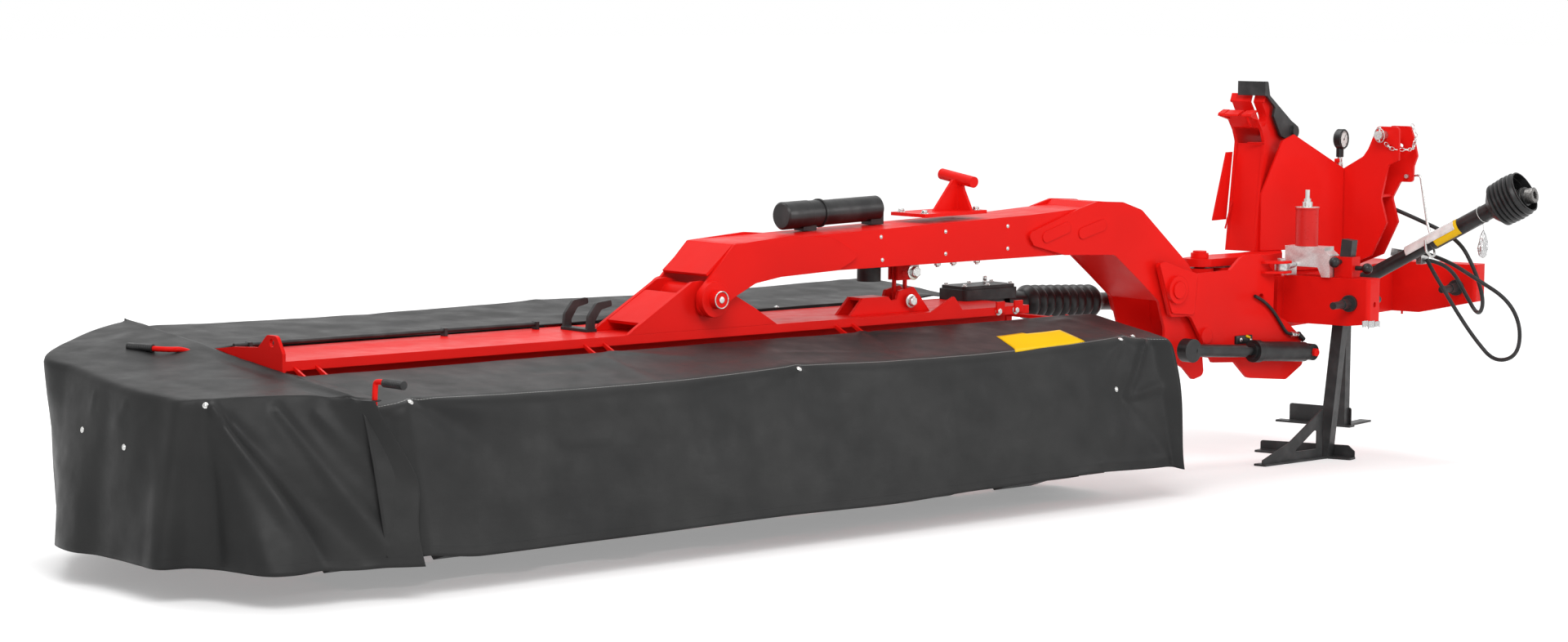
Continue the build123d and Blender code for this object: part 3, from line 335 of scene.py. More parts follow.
@dataclass(frozen=True)
class Moulded:
    """Moulded plastic, rubber or dull paint, with a fine grain."""

    name: str
    colour: Colour
    roughness: float = 0.42
    scuff: float = 0.02
    grain: float = 600.0
    depth: float = 0.0002
    edge_radius: float = 0.0015

    def material(self) -> Material:
        """Builds the surface."""
        shader = Shader(self.name, self.colour, self.roughness)
        shader.set(**{"Specular IOR Level": 0.34})
        pale = tuple(part + self.scuff for part in self.colour)
        scuffs = shader.spread(shader.grain(17, 6), 0, 1, 0.45, 0.8)
        shader.feed("Base Color", shader.mix(scuffs, self.colour, pale))
        shader.roughen((30, 4), self.roughness, 0.06, 0.1)
        shader.emboss([(shader.grain(self.grain, 3), 0.25, self.depth)], self.edge_radius)
        return shader.material


@dataclass(frozen=True)
class TwoTone:
    """One finish below a height, and bright zinc above it."""

    name: str
    below: Colour
    above: Colour
    height: float
    roughness: float = 0.3

    def material(self) -> Material:
        """Builds the finish on the piece's own height."""
        shader = Shader(self.name, self.below, self.roughness)
        shader.set(**{"Specular IOR Level": 0.2})
        height = shader.add("ShaderNodeSeparateXYZ", {0: shader.place()}).outputs[2]
        over = shader.math("GREATER_THAN", height, self.height)
        deep = tuple(0.86 * part for part in self.below)
        tone = shader.mix(shader.spread(shader.grain(6), 0, 1), deep, self.below)
        shader.feed("Base Color", shader.mix(over, tone, self.above))
        shader.feed("Metallic", over)
        shader.roughen((40, 4), self.roughness, 0.05, 0.1)
        shader.emboss([(shader.grain(300, 3), 0.1, 0.0003)], 0.002)
        return shader.material


@dataclass(frozen=True)
class ClearFilm:
    """Scuffed clear sleeve with a pale paper under it."""

    name: str
    colour: Colour = (0.62, 0.6, 0.58)

    def material(self) -> Material:
        """Builds the film."""
        shader = Shader(self.name, self.colour, 0.24)
        shader.set(**{"Coat Weight": 0.6, "Coat Roughness": 0.1})
        blotch = shader.spread(shader.grain(24, 6), 0, 1, 0.4, 0.66)
        shader.feed("Base Color", shader.mix(blotch, self.colour, (0.78, 0.78, 0.77)))
        shader.emboss([(shader.grain(60, 5), 0.35, 0.001)])
        return shader.material


class Paintbox:
    """All the finishes, each built once."""

    def __init__(self) -> None:
        """Mixes the finishes."""
        dull_black, bright = (0.012, 0.012, 0.0125), (0.62, 0.62, 0.6)
        self.red = GlossPaint("signal_red_enamel", (0.78, 0.0105, 0.0075)).material()
        self.yellow = GlossPaint("yellow_plate", (0.9, 0.56, 0.015), 0.38, 0.2, 0.0005).material()
        self.can = TwoTone("red_can_with_zinc_top", (0.66, 0.02, 0.017), bright, 0.969).material()
        self.film = ClearFilm("clear_sleeve").material()
        self.zinc = Galvanised("zinc_plate").material()
        self.block_zinc = Galvanised(
            "block_zinc", (0.84, 0.84, 0.83), (0.7, 0.7, 0.69), 0.42, 200.0, 0.001,
        ).material()
        self.bolt_zinc = Galvanised(
            "bolt_zinc", (0.72, 0.72, 0.7), (0.55, 0.55, 0.54), 0.24, 240.0, 0.0006,
        ).material()
        self.steel = Galvanised(
            "machined_steel", (0.32, 0.31, 0.3), (0.16, 0.155, 0.15), 0.36, 160.0,
        ).material()
        self.disc = Galvanised("disc_steel", (0.2, 0.195, 0.19), (0.1, 0.095, 0.09), 0.45, 60.0).material()
        self.foil = Galvanised("crumpled_foil", (0.7, 0.7, 0.7), (0.4, 0.4, 0.4), 0.22, 300.0, 0.0).material()
        self.plastic = Moulded("black_moulding", dull_black, 0.34).material()
        # Dark cast finish: the own black of the gearboxes, hook bracket, latch and lower pins, and painted
        # shade on the cutter bar.
        self.cast = Moulded(
            "black_cast_iron_and_painted_shade", (0.017, 0.0175, 0.018), 0.46, 0.03, 260.0, 0.0009, 0.003,
        ).material()
        self.stand = Moulded(
            "anthracite_paint", (0.021, 0.0215, 0.022), 0.4, 0.025, 500.0, 0.0003, 0.0025,
        ).material()
        self.rubber = Moulded(
            "hose_rubber", (0.014, 0.014, 0.0145), 0.52, 0.02, 900.0, 0.0003, 0.001,
        ).material()
        self.dial = Moulded("dial_white", (0.72, 0.72, 0.7), 0.3, 0.02, 200.0, 0.00005, 0.0).material()


# ---- Shapes --------------------------------------------------------------------------------------------
def upright(centre: Vector, axis: Vector) -> Matrix:
    """Placing whose own z runs along an axis."""
    return Matrix.Translation(centre) @ axis.normalized().to_track_quat("Z", "Y").to_matrix().to_4x4()


def finished(mesh: Mesh, name: str, material: Material, smooth_angle: float) -> Piece:
    """Turns a bmesh into a shaded object in the scene."""
    data = bpy.data.meshes.new(name)
    mesh.to_mesh(data)
    mesh.free()
    data.materials.append(material)
    data.polygons.foreach_set("use_smooth", [True] * len(data.polygons))
    data.set_sharp_from_angle(angle=radians(smooth_angle))
    piece = bpy.data.objects.new(name, data)
    bpy.context.scene.collection.objects.link(piece)
    return piece


class Shape:
    """A mesh in the making: forms are added to it, and then it becomes one named piece."""

    def __init__(self) -> None:
        """Starts empty."""
        self.mesh = bmesh.new()

    def soften(self, verts: Iterable[bmesh.types.BMVert], radius: float, segments: int = 2) -> None:
        """Bevels every edge between the given points that is sharper than 30 degrees."""
        chosen = set(verts)
        edges = [
            edge for edge in self.mesh.edges
            if edge.verts[0] in chosen and edge.verts[1] in chosen and edge.calc_face_angle(0) > radians(30)
        ]
        bmesh.ops.bevel(
            self.mesh, geom=edges, offset=radius, offset_type="OFFSET", affect="EDGES", segments=segments,
            profile=0.5, material=-1,
        )

    def drum(
        self, start: Vector, end: Vector, radius: float, end_radius: Optional[float] = None, sides: int = 32,
        bevel: float = 0.0,
    ) -> None:
        """Adds a closed drum, cone or prism from one end point to the other."""
        axis = end - start
        made = bmesh.ops.create_cone(
            self.mesh, cap_ends=True, cap_tris=False, segments=sides, radius1=radius,
            radius2=radius if end_radius is None else end_radius, depth=axis.length,
            matrix=upright((start + end) / 2, axis),
        )
        if bevel:
            self.soften(made["verts"], bevel)

    def block(
        self, centre: Vector, size: Place, turn: Matrix = Matrix.Identity(4), bevel: float = 0.002,
    ) -> None:
        """Adds a block with softened edges, turned about its centre."""
        placing = Matrix.Translation(centre) @ turn @ Matrix.Diagonal((*size, 1))
        made = bmesh.ops.create_cube(self.mesh, size=1.0, matrix=placing)
        if bevel:
            self.soften(made["verts"], bevel)

    def ball(self, centre: Vector, radius: float) -> None:
        """Adds a ball."""
        bmesh.ops.create_uvsphere(
            self.mesh, u_segments=20, v_segments=12, radius=radius, matrix=Matrix.Translation(centre),
        )

    def lathe(self, origin: Vector, axis: Vector, profile: Sequence[Pair], steps: int = 48) -> None:
        """Spins a profile about an axis.

        Args:
            origin: where distances along the axis start.
            axis: the axis' direction.
            profile: rows of distance along the axis and radius.
            steps: how many facets go round.
        """
        way = axis.normalized()
        side = way.orthogonal().normalized()
        verts = [
            self.mesh.verts.new(origin + way * distance + side * max(radius, 1e-5))
            for distance, radius in profile
        ]
        edges = [self.mesh.edges.new(pair) for pair in zip(verts, verts[1:])]
        bmesh.ops.spin(
            self.mesh, geom=verts + edges, cent=origin, axis=way, dvec=(0, 0, 0), angle=2 * pi, steps=steps,
            use_merge=True, use_normal_flip=False, use_duplicate=False,
        )

    def absorb(self, other: Mesh, placing: Matrix) -> None:
        """Takes in another mesh, laid in its place."""
        bmesh.ops.transform(other, matrix=placing, verts=other.verts[:])
        data = bpy.data.meshes.new("part")
        other.to_mesh(data)
        other.free()
        self.mesh.from_mesh(data)
        bpy.data.meshes.remove(data)

    def ring(
        self, centre: Vector, axis: Vector, radius: float, thickness: float, squash: Pair = (1, 1),
    ) -> None:
        """Adds a round wire ring, or an oval one, about an axis."""
        fresh = bmesh.new()
        made = bmesh.ops.create_circle(
            fresh, cap_ends=False, segments=8, radius=thickness,
            matrix=Matrix.Translation((radius, 0, 0)) @ Matrix.Rotation(pi / 2, 4, "X"),
        )
        bmesh.ops.spin(
            fresh, geom=made["verts"] + fresh.edges[:], cent=(0, 0, 0), axis=(0, 0, 1), dvec=(0, 0, 0),
            angle=2 * pi, steps=28, use_merge=True, use_normal_flip=False, use_duplicate=False,
        )
        self.absorb(fresh, upright(centre, axis) @ Matrix.Diagonal((*squash, 1, 1)))

    def plate(self, outline: Sequence[Vector], way: Vector, thickness: float, bevel: float = 0.0015) -> None:
        """Adds a flat plate from its outline's points, pulled along a direction."""
        corners = [self.mesh.verts.new(point) for point in outline]
        face = self.mesh.faces.new(corners)
        made = bmesh.ops.extrude_face_region(self.mesh, geom=[face])
        moved = [item for item in made["geom"] if isinstance(item, bmesh.types.BMVert)]
        bmesh.ops.translate(self.mesh, vec=way.normalized() * thickness, verts=moved)
        if bevel:
            self.soften(corners + moved, bevel)

    def bolt(self, seat: Vector, axis: Vector, size: float, stud: float = 0.0) -> None:
        """Adds a hexagon head on its washer.

        Args:
            seat: the point on the surface under the bolt.
            axis: the way out of the surface.
            size: radius over the head's corners.
            stud: length of thread that stands past a nut.
        """
        way = axis.normalized()
        rise = size * 0.22
        self.drum(seat - way * 0.001, seat + way * rise, size * 1.35, sides=28, bevel=size * 0.05)
        head, crown = rise + size * 0.75, rise + size * 0.82
        self.drum(seat + way * rise, seat + way * head, size, size * 0.97, sides=6, bevel=size * 0.07)
        self.drum(seat + way * (rise + size * 0.7), seat + way * crown, size * 0.78, size * 0.7, sides=24)
        if stud:
            end = seat + way * (head + stud)
            self.drum(seat + way * rise, end, size * 0.52, sides=20, bevel=size * 0.06)

    def rivet(self, seat: Vector, axis: Vector, radius: float) -> None:
        """Adds a domed rivet on a washer."""
        way = axis.normalized()
        self.lathe(seat, way, [
            (-0.001, radius), (radius * 0.12, radius), (radius * 0.2, radius * 0.92),
            (radius * 0.2, radius * 0.62), (radius * 0.42, radius * 0.5), (radius * 0.55, radius * 0.25),
            (radius * 0.58, 0),
        ], 20)

    def bead(self, start: Vector, end: Vector, radius: float) -> None:
        """Adds a weld: overlapping flat scallops in a row."""
        run = end - start
        count = max(int(run.length / (radius * 0.9)), 2)
        turn = run.normalized().to_track_quat("X", "Z").to_matrix().to_4x4()
        for number in range(count + 1):
            centre = start + run * (number / count)
            wander = noise.noise(centre * 61) * radius * 0.25
            bmesh.ops.create_icosphere(
                self.mesh, subdivisions=1, radius=radius + wander,
                matrix=Matrix.Translation(centre) @ turn @ Matrix.Diagonal((0.75, 1, 1, 1)),
            )

    def piece(
        self, name: str, material: Material, body: Body, slot: Slot, smooth_angle: float = 40.0,
        outwards: bool = True,
    ) -> Piece:
        """Finishes the mesh and lets it ride on a body.

        Args:
            name: the piece's name.
            material: its finish.
            body: the body that it moves with.
            slot: the record's slot; not used.
            smooth_angle: edges flatter than this are shaded smooth, in degrees.
            outwards: whether its faces are turned outwards.

        Returns:
            The piece.
        """
        if outwards:
            bmesh.ops.recalc_face_normals(self.mesh, faces=self.mesh.faces[:])
        made = finished(self.mesh, name, material, smooth_angle)
        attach(made, body.value)
        log.info("%s: %d faces on %s", name, len(made.data.polygons), body.value)
        return made


def wire(
    name: str, points: Sequence[Vector], radius: float, material: Material, body: Body,
    order: int = 3, closed: bool = False,
) -> Piece:
    """Makes a round tube along one smooth spline.

    Args:
        name: the piece's name.
        points: the spline's control points.
        radius: the tube's radius.
        material: its finish.
        body: the body that it moves with.
        order: the spline's order.
        closed: whether the spline closes on itself.

    Returns:
        The curve object.
    """
    data = bpy.data.curves.new(name, "CURVE")
    data.dimensions = "3D"
    data.bevel_depth = radius
    data.bevel_resolution = 5
    data.use_fill_caps = True
    spline = data.splines.new("NURBS")
    spline.points.add(len(points) - 1)
    for control, point in zip(spline.points, points):
        control.co = (*point, 1.0)
    spline.use_cyclic_u = closed
    spline.order_u = order
    spline.use_endpoint_u = not closed
    spline.resolution_u = 12
    data.materials.append(material)
    piece = bpy.data.objects.new(name, data)
    bpy.context.scene.collection.objects.link(piece)
    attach(piece, body.value)
    return piece


# ---- Room and camera -----------------------------------------------------------------------------------
@dataclass
class Studio:
    """Pale floor, soft lamps and the camera."""

    camera_place: Place = (-10.2826, -9.1827, 1.8261)
    camera_aim: Place = (-1.3488, 0.8585, 0.5569)
    camera_roll: float = 0.43
    lens: float = 82.91
    floor_size: float = 160.0
    floor_white: float = 0.93
    floor_drop: float = 0.0005
    surround: float = 0.5
    floor_glow: float = 1.75
    glow_share: Pair = (0.17, 0.45)
    glow_reach: Pair = (-0.05, 0.32)
    plan_centre: Pair = (-1.95, 0.05)
    plan_half: Pair = (2.72, 0.66)

    def facing(self, place: Place, aim: Place) -> Matrix:
        """Placing of a lamp or camera that looks at a point."""
        way = Vector(aim) - Vector(place)
        return Matrix.Translation(place) @ way.to_track_quat("-Z", "Y").to_matrix().to_4x4()

    def camera(self) -> None:
        """Places the camera."""
        data = bpy.data.cameras.new("view")
        data.lens = self.lens
        data.sensor_width = 36.0
        data.clip_end = 400.0
        camera = bpy.data.objects.new("view", data)
        roll = Matrix.Rotation(radians(self.camera_roll), 4, "Z")
        camera.matrix_world = self.facing(self.camera_place, self.camera_aim) @ roll
        bpy.context.scene.collection.objects.link(camera)
        bpy.context.scene.camera = camera

    def lamp(self, name: str, place: Place, aim: Place, size: Pair, power: float) -> None:
        """Hangs one soft lamp.

        Args:
            name: the lamp's name.
            place: where it hangs.
            aim: the point that it faces.
            size: its width and height.
            power: its power in watts.
        """
        data = bpy.data.lights.new(name, "AREA")
        data.shape = "RECTANGLE"
        data.size, data.size_y = size
        data.energy = power
        lamp = bpy.data.objects.new(name, data)
        lamp.matrix_world = self.facing(place, aim)
        bpy.context.scene.collection.objects.link(lamp)

    def shown(self, tree: bpy.types.NodeTree) -> Socket:
        """One for rays that show the surface itself, straight, in metal or through glass."""
        rays = add_node(tree, "ShaderNodeLightPath").outputs
        total = rays["Is Camera Ray"]
        for name in ("Is Glossy Ray", "Is Transmission Ray"):
            total = calculate(tree, "MAXIMUM", total, rays[name])
        return total

    def world(self) -> None:
        """A white surround that lights softly."""
        world = bpy.data.worlds.new("surround")
        bpy.context.scene.world = world
        world.use_nodes = True
        tree = world.node_tree
        background = tree.nodes["Background"]
        background.inputs["Color"].default_value = (1, 1, 1, 1)
        strength = add_node(tree, "ShaderNodeMapRange", {
            "Value": self.shown(tree), "To Min": self.surround, "To Max": 1.0,
        })
        tree.links.new(strength.outputs[0], background.inputs["Strength"])

    def away(self, tree: bpy.types.NodeTree) -> Socket:
        """Share of glow in the floor: small under the mower, to keep its shadow deep, and full far off."""
        place = add_node(tree, "ShaderNodeTexCoord").outputs["Object"]
        split = add_node(tree, "ShaderNodeSeparateXYZ", {0: place}).outputs
        beyond = []
        for at, centre, half in zip(split, self.plan_centre, self.plan_half):
            off = calculate(tree, "ABSOLUTE", calculate(tree, "SUBTRACT", at, centre))
            beyond.append(calculate(tree, "SUBTRACT", off, half))
        return add_node(tree, "ShaderNodeMapRange", {
            "Value": calculate(tree, "MAXIMUM", *beyond), "From Min": self.glow_reach[0],
            "From Max": self.glow_reach[1], "To Min": self.glow_share[0], "To Max": self.glow_share[1],
        }, interpolation_type="SMOOTHSTEP").outputs["Result"]

    def floor(self) -> None:
        """A white floor that keeps the mower's shadow."""
        shader = Shader("floor", (self.floor_white,) * 3, 1.0)
        shader.set(**{"Specular IOR Level": 0.0})
        share = shader.math("MULTIPLY", self.shown(shader.tree), self.away(shader.tree))
        glow = shader.add("ShaderNodeEmission", {"Strength": self.floor_glow})
        matt = shader.surface.outputs[0]
        blend = shader.add("ShaderNodeMixShader", {0: share, 1: matt, 2: glow.outputs[0]})
        output = shader.tree.nodes["Material Output"]
        shader.tree.links.new(blend.outputs[0], output.inputs["Surface"])
        mesh = bmesh.new()
        bmesh.ops.create_grid(mesh, x_segments=1, y_segments=1, size=self.floor_size / 2)
        bmesh.ops.translate(mesh, vec=(0, 0, -self.floor_drop), verts=mesh.verts[:])
        finished(mesh, "floor", shader.material, 30)

    def build(self) -> None:
        """Sets up the whole room."""
        bpy.context.scene.view_settings.view_transform = "Standard"
        self.camera()
        self.world()
        self.floor()
        self.lamp("key", (-7.5, -6.5, 8.5), (-1.6, 0.2, 0.5), (7.0, 5.0), 780)
        self.lamp("side", (4.5, -9.0, 4.5), (0.2, 0.0, 0.7), (4.0, 4.0), 260)
        self.lamp("top", (-1.5, 4.0, 8.5), (-1.5, 0.4, 0.5), (8.0, 3.0), 330)


# ---- The frame's own solids ----------------------------------------------------------------------------
@dataclass
class FrameFinish:
    """Finishes of the solids that stay as they are."""

    paints: Paintbox

    def groups(self) -> list[tuple[Material, str]]:
        """Each finish with the names of the solids that wear it."""
        paints = self.paints
        discs = " ".join(f"disc_{number}" for number in range(1, 9))
        return [
            (paints.red, "headstock_beam pivot_plates tower mast swing_frame boom_beam boom_sides"
                         " gooseneck_plates transport_bar top_beam pivot_bracket deck_frame link_bracket"
                         " strap_bolt front_guard_frame side_guard_frame stand_locks deck_pin fold_pin"
                         " swing_pin"),
            (paints.block_zinc, "overload_block"),
            (paints.zinc, "overload_eye hose_clip"),
            (paints.bolt_zinc, "top_link_pin pto_hook"),
            (paints.can, "spring_can"),
            # The cutter bar wears this dark finish as painted shade in place of its own red, so what shows of
            # it under the hem reads as shadow.
            (paints.cast, "cutter_bar pto_gearbox deck_gearbox hook_bracket latch lower_pins"),
            (paints.plastic, "lift_barrel lift_rod lock_knobs canister gauge pto_guard drive_guard"),
            (paints.steel, "pto_yoke"),
            (paints.stand, "stand_near stand_far"),
            (paints.rubber, "coupler_hose looped_hose boom_buffer"),
            (paints.disc, discs),
        ]

    def build(self) -> None:
        """Dresses the solids."""
        for material, names in self.groups():
            for name in names.split():
                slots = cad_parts[name].data.materials
                slots.clear()
                slots.append(material)


# ---- Canvas covers -------------------------------------------------------------------------------------
@dataclass(frozen=True)
class Ridge:
    """A soft fold along a straight line: it stands out of the cloth, or in where its height is negative."""

    start: Place
    end: Place
    width: Pair
    height: Pair

    def lift(self, point: Vector) -> float:
        """How far the fold moves the cloth at a point."""
        start = Vector(self.start)
        run = Vector(self.end) - start
        part = min(max((point - start).dot(run) / run.length_squared, 0.0), 1.0)
        away = (point - start - run * part).length
        width = between(*self.width, part)
        return between(*self.height, part) * exp(-((away / width) ** 2))


def rounded_run(points: Sequence[Vector], distance: float, radius: float) -> Vector:
    """Finds a point along two straight runs with a rounded corner between them.

    Args:
        points: start, corner and end.
        distance: how far along the runs.
        radius: how far from the corner the rounding starts.

    Returns:
        The point on the rounded path.
    """
    start, corner, end = points
    first = (corner - start).length
    before, after = (corner - start).normalized(), (end - corner).normalized()
    if distance <= first - radius:
        return start + before * distance
    if distance >= first + radius:
        return corner + after * (distance - first)
    t = (distance - first + radius) / (2 * radius)
    entry, leave = corner - before * radius, corner + after * radius
    return entry * (1 - t) ** 2 + corner * 2 * t * (1 - t) + leave * t * t


@dataclass
class Cover:
    """A sheet of coated canvas over a guard: a roof, a rounded edge and a hanging skirt."""

    name: str
    node: str
    cells: tuple[int, int]
    ridges: Sequence[Ridge] = ()
    thickness: float = 0.0028
    edge: float = 0.035
    crease: float = 0.0022
    facing: float = 0.0
    rivets: Sequence[Place] = ()
    rivet_radius: float = 0.0095

    def path(self, part: float) -> tuple[Vector, Vector, Vector]:
        """Start of the roof, roof edge and hem at a part of the cover's length."""
        raise NotImplementedError

    def shape(self, part: float, down: float, point: Vector) -> Vector:
        """Last changes to a point before the folds are added."""
        return point

    def lengths(self) -> Pair:
        """Length along the cover, and down it, in metres."""
        middle = self.path(0.5)
        along = (self.path(0.0)[1] - self.path(1.0)[1]).length
        return along, (middle[1] - middle[0]).length + (middle[2] - middle[1]).length

    def surface(self, part: float, down: float) -> Vector:
        """Point of the plain sheet, from its start to its hem."""
        path = self.path(part)
        roof, skirt = (path[1] - path[0]).length, (path[2] - path[1]).length
        share = self.roof_share
        distance = roof * down / share if down < share else roof + skirt * (down - share) / (1 - share)
        edge = min(self.edge, roof * 0.45, skirt * 0.45)
        return self.shape(part, down, rounded_run(path, distance, edge))

    @property
    def roof_share(self) -> float:
        """Share of the sheet's rows that lie on the roof."""
        middle = self.path(0.5)
        roof, skirt = (middle[1] - middle[0]).length, (middle[2] - middle[1]).length
        return roof / (roof + skirt)

    def wrinkle(self, point: Vector) -> float:
        """Small uneven relief of limp canvas."""
        stretched = Vector((point.x * 0.55, point.y * 1.3, point.z * 0.9))
        broad = noise.fractal(stretched * 3.1, 1.0, 2.0, 3)
        fine = noise.fractal(stretched * 9.0, 1.0, 2.0, 2)
        return self.crease * (1.3 * broad + 0.45 * fine)

    def sheet_mesh(self) -> Mesh:
        """Lays a grid over the cover and presses the folds into it."""
        mesh = bmesh.new()
        columns, rows = self.cells
        bmesh.ops.create_grid(mesh, x_segments=columns, y_segments=rows, size=0.5, calc_uvs=True)
        along, down = self.lengths()
        uv = mesh.loops.layers.uv.active or mesh.loops.layers.uv.new("sheet")
        for face in mesh.faces:
            for loop in face.loops:
                loop[uv].uv = ((loop.vert.co.x + 0.5) * along, (loop.vert.co.y + 0.5) * down)
        for vert in mesh.verts:
            vert.co = self.surface(vert.co.x + 0.5, vert.co.y + 0.5)
        mesh.normal_update()
        outward = sum((face.normal.z + face.normal.y * self.facing for face in mesh.faces), 0.0)
        if outward < 0:
            bmesh.ops.reverse_faces(mesh, faces=mesh.faces[:])
            mesh.normal_update()
        for vert in mesh.verts:
            rise = self.wrinkle(vert.co) + sum(ridge.lift(vert.co) for ridge in self.ridges)
            vert.co += vert.normal * rise
        return mesh

    def build(self, finish: CoatedCanvas, body: Body) -> Piece:
        """Makes the cover.

        Args:
            finish: the canvas.
            body: the body that it rides on.

        Returns:
            The cover's object.
        """
        mesh = self.sheet_mesh()
        bmesh.ops.remove_doubles(mesh, verts=mesh.verts[:], dist=0.0004)
        piece = finished(mesh, self.name, finish.material(), 70)
        solid = piece.modifiers.new("thickness", "SOLIDIFY")
        solid.thickness = self.thickness
        solid.offset = -1.0
        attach(piece, body.value)
        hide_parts(self.node)
        log.info("%s: %d faces", self.name, len(piece.data.polygons))
        return piece

    def rivet_rows(self, piece: Piece, material: Material, body: Body) -> Piece:
        """Sets the cover's rivets on its surface."""
        shape = Shape()
        for place in self.rivets:
            _, seat, normal, _ = piece.closest_point_on_mesh(Vector(place))
            shape.rivet(seat, normal, self.rivet_radius)
        return shape.piece(f"{self.name}_rivets", material, body, Slot.ZINC)


def roof_height(x: float, y: float) -> float:
    """Height of the covers' roof, which falls towards the front and, past the seam, outwards."""
    return 0.583 + 0.0965 * (y + 0.5) + 0.05 * min(x + 4.22, 0.0)


@dataclass
class FrontCover(Cover):
    """Front cover: it sags between its rivets, and its right end turns outwards in a flange."""

    left: float = -4.204
    right: float = -0.748
    fold_x: float = -0.822
    supports: Sequence[float] = (-4.3, -4.035, -2.49, -0.93, -0.6)
    edge_sag: float = 0.02
    hem_line: Sequence[Pair] = (
        (-4.204, 0.136), (-4.1, 0.131), (-3.86, 0.11), (-3.4, 0.112), (-2.67, 0.117), (-2.2, 0.112),
        (-1.75, 0.123), (-1.22, 0.132), (-0.87, 0.124), (-0.74, 0.112),
    )
    facing: float = -1.0

    def hem_height(self, x: float) -> float:
        """Height of the hem at x."""
        for (left, low), (right, high) in zip(self.hem_line, self.hem_line[1:]):
            if x <= right:
                return between(low, high, smooth((x - left) / (right - left)))
        return self.hem_line[-1][1]

    def bow(self, x: float) -> float:
        """How slack the edge is at x, from 0 at a rivet to 1 midway between two."""
        for left, right in zip(self.supports, self.supports[1:]):
            if left <= x <= right:
                return sin(pi * (x - left) / (right - left)) ** 0.7
        return 0.0

    def path(self, part: float) -> tuple[Vector, Vector, Vector]:
        """Rear edge, front edge and hem."""
        x = between(self.left, self.right, part)
        slack = self.bow(x)
        rear = Vector((x, -0.15, 0.6295 - 0.002 * slack))
        corner = Vector((x, -0.5 - 0.012 * slack, 0.583 - self.edge_sag * slack))
        hem = Vector((x, -0.63, self.hem_height(x)))
        return rear, corner, hem

    def shape(self, part: float, down: float, point: Vector) -> Vector:
        """Bows the skirt out, and turns the right end outwards past its crease."""
        share = self.roof_share
        if down > share:
            point.y -= 0.006 * sin(pi * (down - share) / (1 - share))
        point.y += 0.018 * smooth((-4.05 - point.x) / 0.07) * smooth(down / share)
        past = point.x - self.fold_x
        if past > 0:
            low = smooth((down - share) / (1 - share))
            point.x = self.fold_x + past * between(1.0, 0.35, low * low)
            point.y -= past * between(0.1, 0.5, smooth(down * 1.6)) * (1 - 0.2 * low)
        return point


@dataclass
class RearCover(Cover):
    """Rear cover, from the deck back and down."""

    left: float = -4.204
    right: float = -1.002
    facing: float = 1.0

    def path(self, part: float) -> tuple[Vector, Vector, Vector]:
        """Front edge, rear edge and hem."""
        x = between(self.left, self.right, part)
        wave = 0.5 + 0.5 * noise.noise(Vector((x * 1.7, 3.1, 0.4)))
        slack = abs(sin(pi * (x + 4.12) / 1.53)) ** 0.8
        edge = Vector((x, 0.79 + 0.006 * slack, 0.7135 - 0.012 * slack))
        return Vector((x, 0.318, 0.674)), edge, Vector((x, 0.868 + 0.008 * wave, 0.134 + 0.006 * wave))


@dataclass
class SideCover(Cover):
    """Cover of the side guard: its roof falls outwards, and its skirt hangs in deep soft folds."""

    seam: Sequence[Place] = (
        (-4.152, -0.492, 0.0), (-4.17, -0.2, 0.0), (-4.2045, 0.1, 0.0), (-4.2045, 0.83, 0.0),
    )
    edge_line: Sequence[Pair] = (
        (-4.152, -0.514), (-4.24, -0.432), (-4.34, -0.345), (-4.45, -0.3), (-4.55, -0.262), (-4.6, -0.243),
        (-4.635, -0.23), (-4.66, -0.2), (-4.672, -0.14), (-4.7, -0.047), (-4.703, 0.109), (-4.69, 0.25),
        (-4.684, 0.364), (-4.69, 0.5), (-4.563, 0.639), (-4.4, 0.76), (-4.27, 0.825), (-4.2045, 0.832),
    )
    hem_points: Sequence[Pair] = (
        (-4.096, -0.65), (-4.21, -0.61), (-4.371, -0.563), (-4.5, -0.557), (-4.57, -0.505), (-4.602, -0.34),
        (-4.652, -0.262), (-4.74, -0.232), (-4.742, -0.12), (-4.735, -0.015), (-4.742, 0.119),
        (-4.768, 0.228), (-4.73, 0.38), (-4.612, 0.53), (-4.52, 0.68), (-4.38, 0.83), (-4.26, 0.87),
        (-4.2045, 0.872),
    )
    flap_lift: float = 0.008
    facing: float = 0.0

    def path(self, part: float) -> tuple[Vector, Vector, Vector]:
        """Seam, roof edge and hem."""
        seam = along_curve([Vector(point) for point in self.seam], part)
        edge = along_curve([Vector((*point, 0)) for point in self.edge_line], part)
        hem = along_curve([Vector((*point, 0.106)) for point in self.hem_points], part)
        over = self.flap_lift * smooth((seam.x + 4.26) / 0.05)
        seam.z = roof_height(seam.x, seam.y) + self.flap_lift + 0.012 * smooth((seam.y - 0.1) / 0.3)
        edge.z = roof_height(edge.x, edge.y) + over
        hem.z += 0.004 * noise.noise(hem * 5)
        return seam, edge, hem

    def shape(self, part: float, down: float, point: Vector) -> Vector:
        """Gives the flap over the front cover its wavy free edge, and stands it off the front cover."""
        near_end = 1 - smooth(part / 0.09)
        share = self.roof_share
        if down > share and near_end > 0:
            low = (down - share) / (1 - share)
            point.x += near_end * (0.05 * exp(-(((low - 0.5) / 0.22) ** 2)) - 0.028 * (1 - smooth(low / 0.3)))
            point.y -= near_end * 0.006
        return point


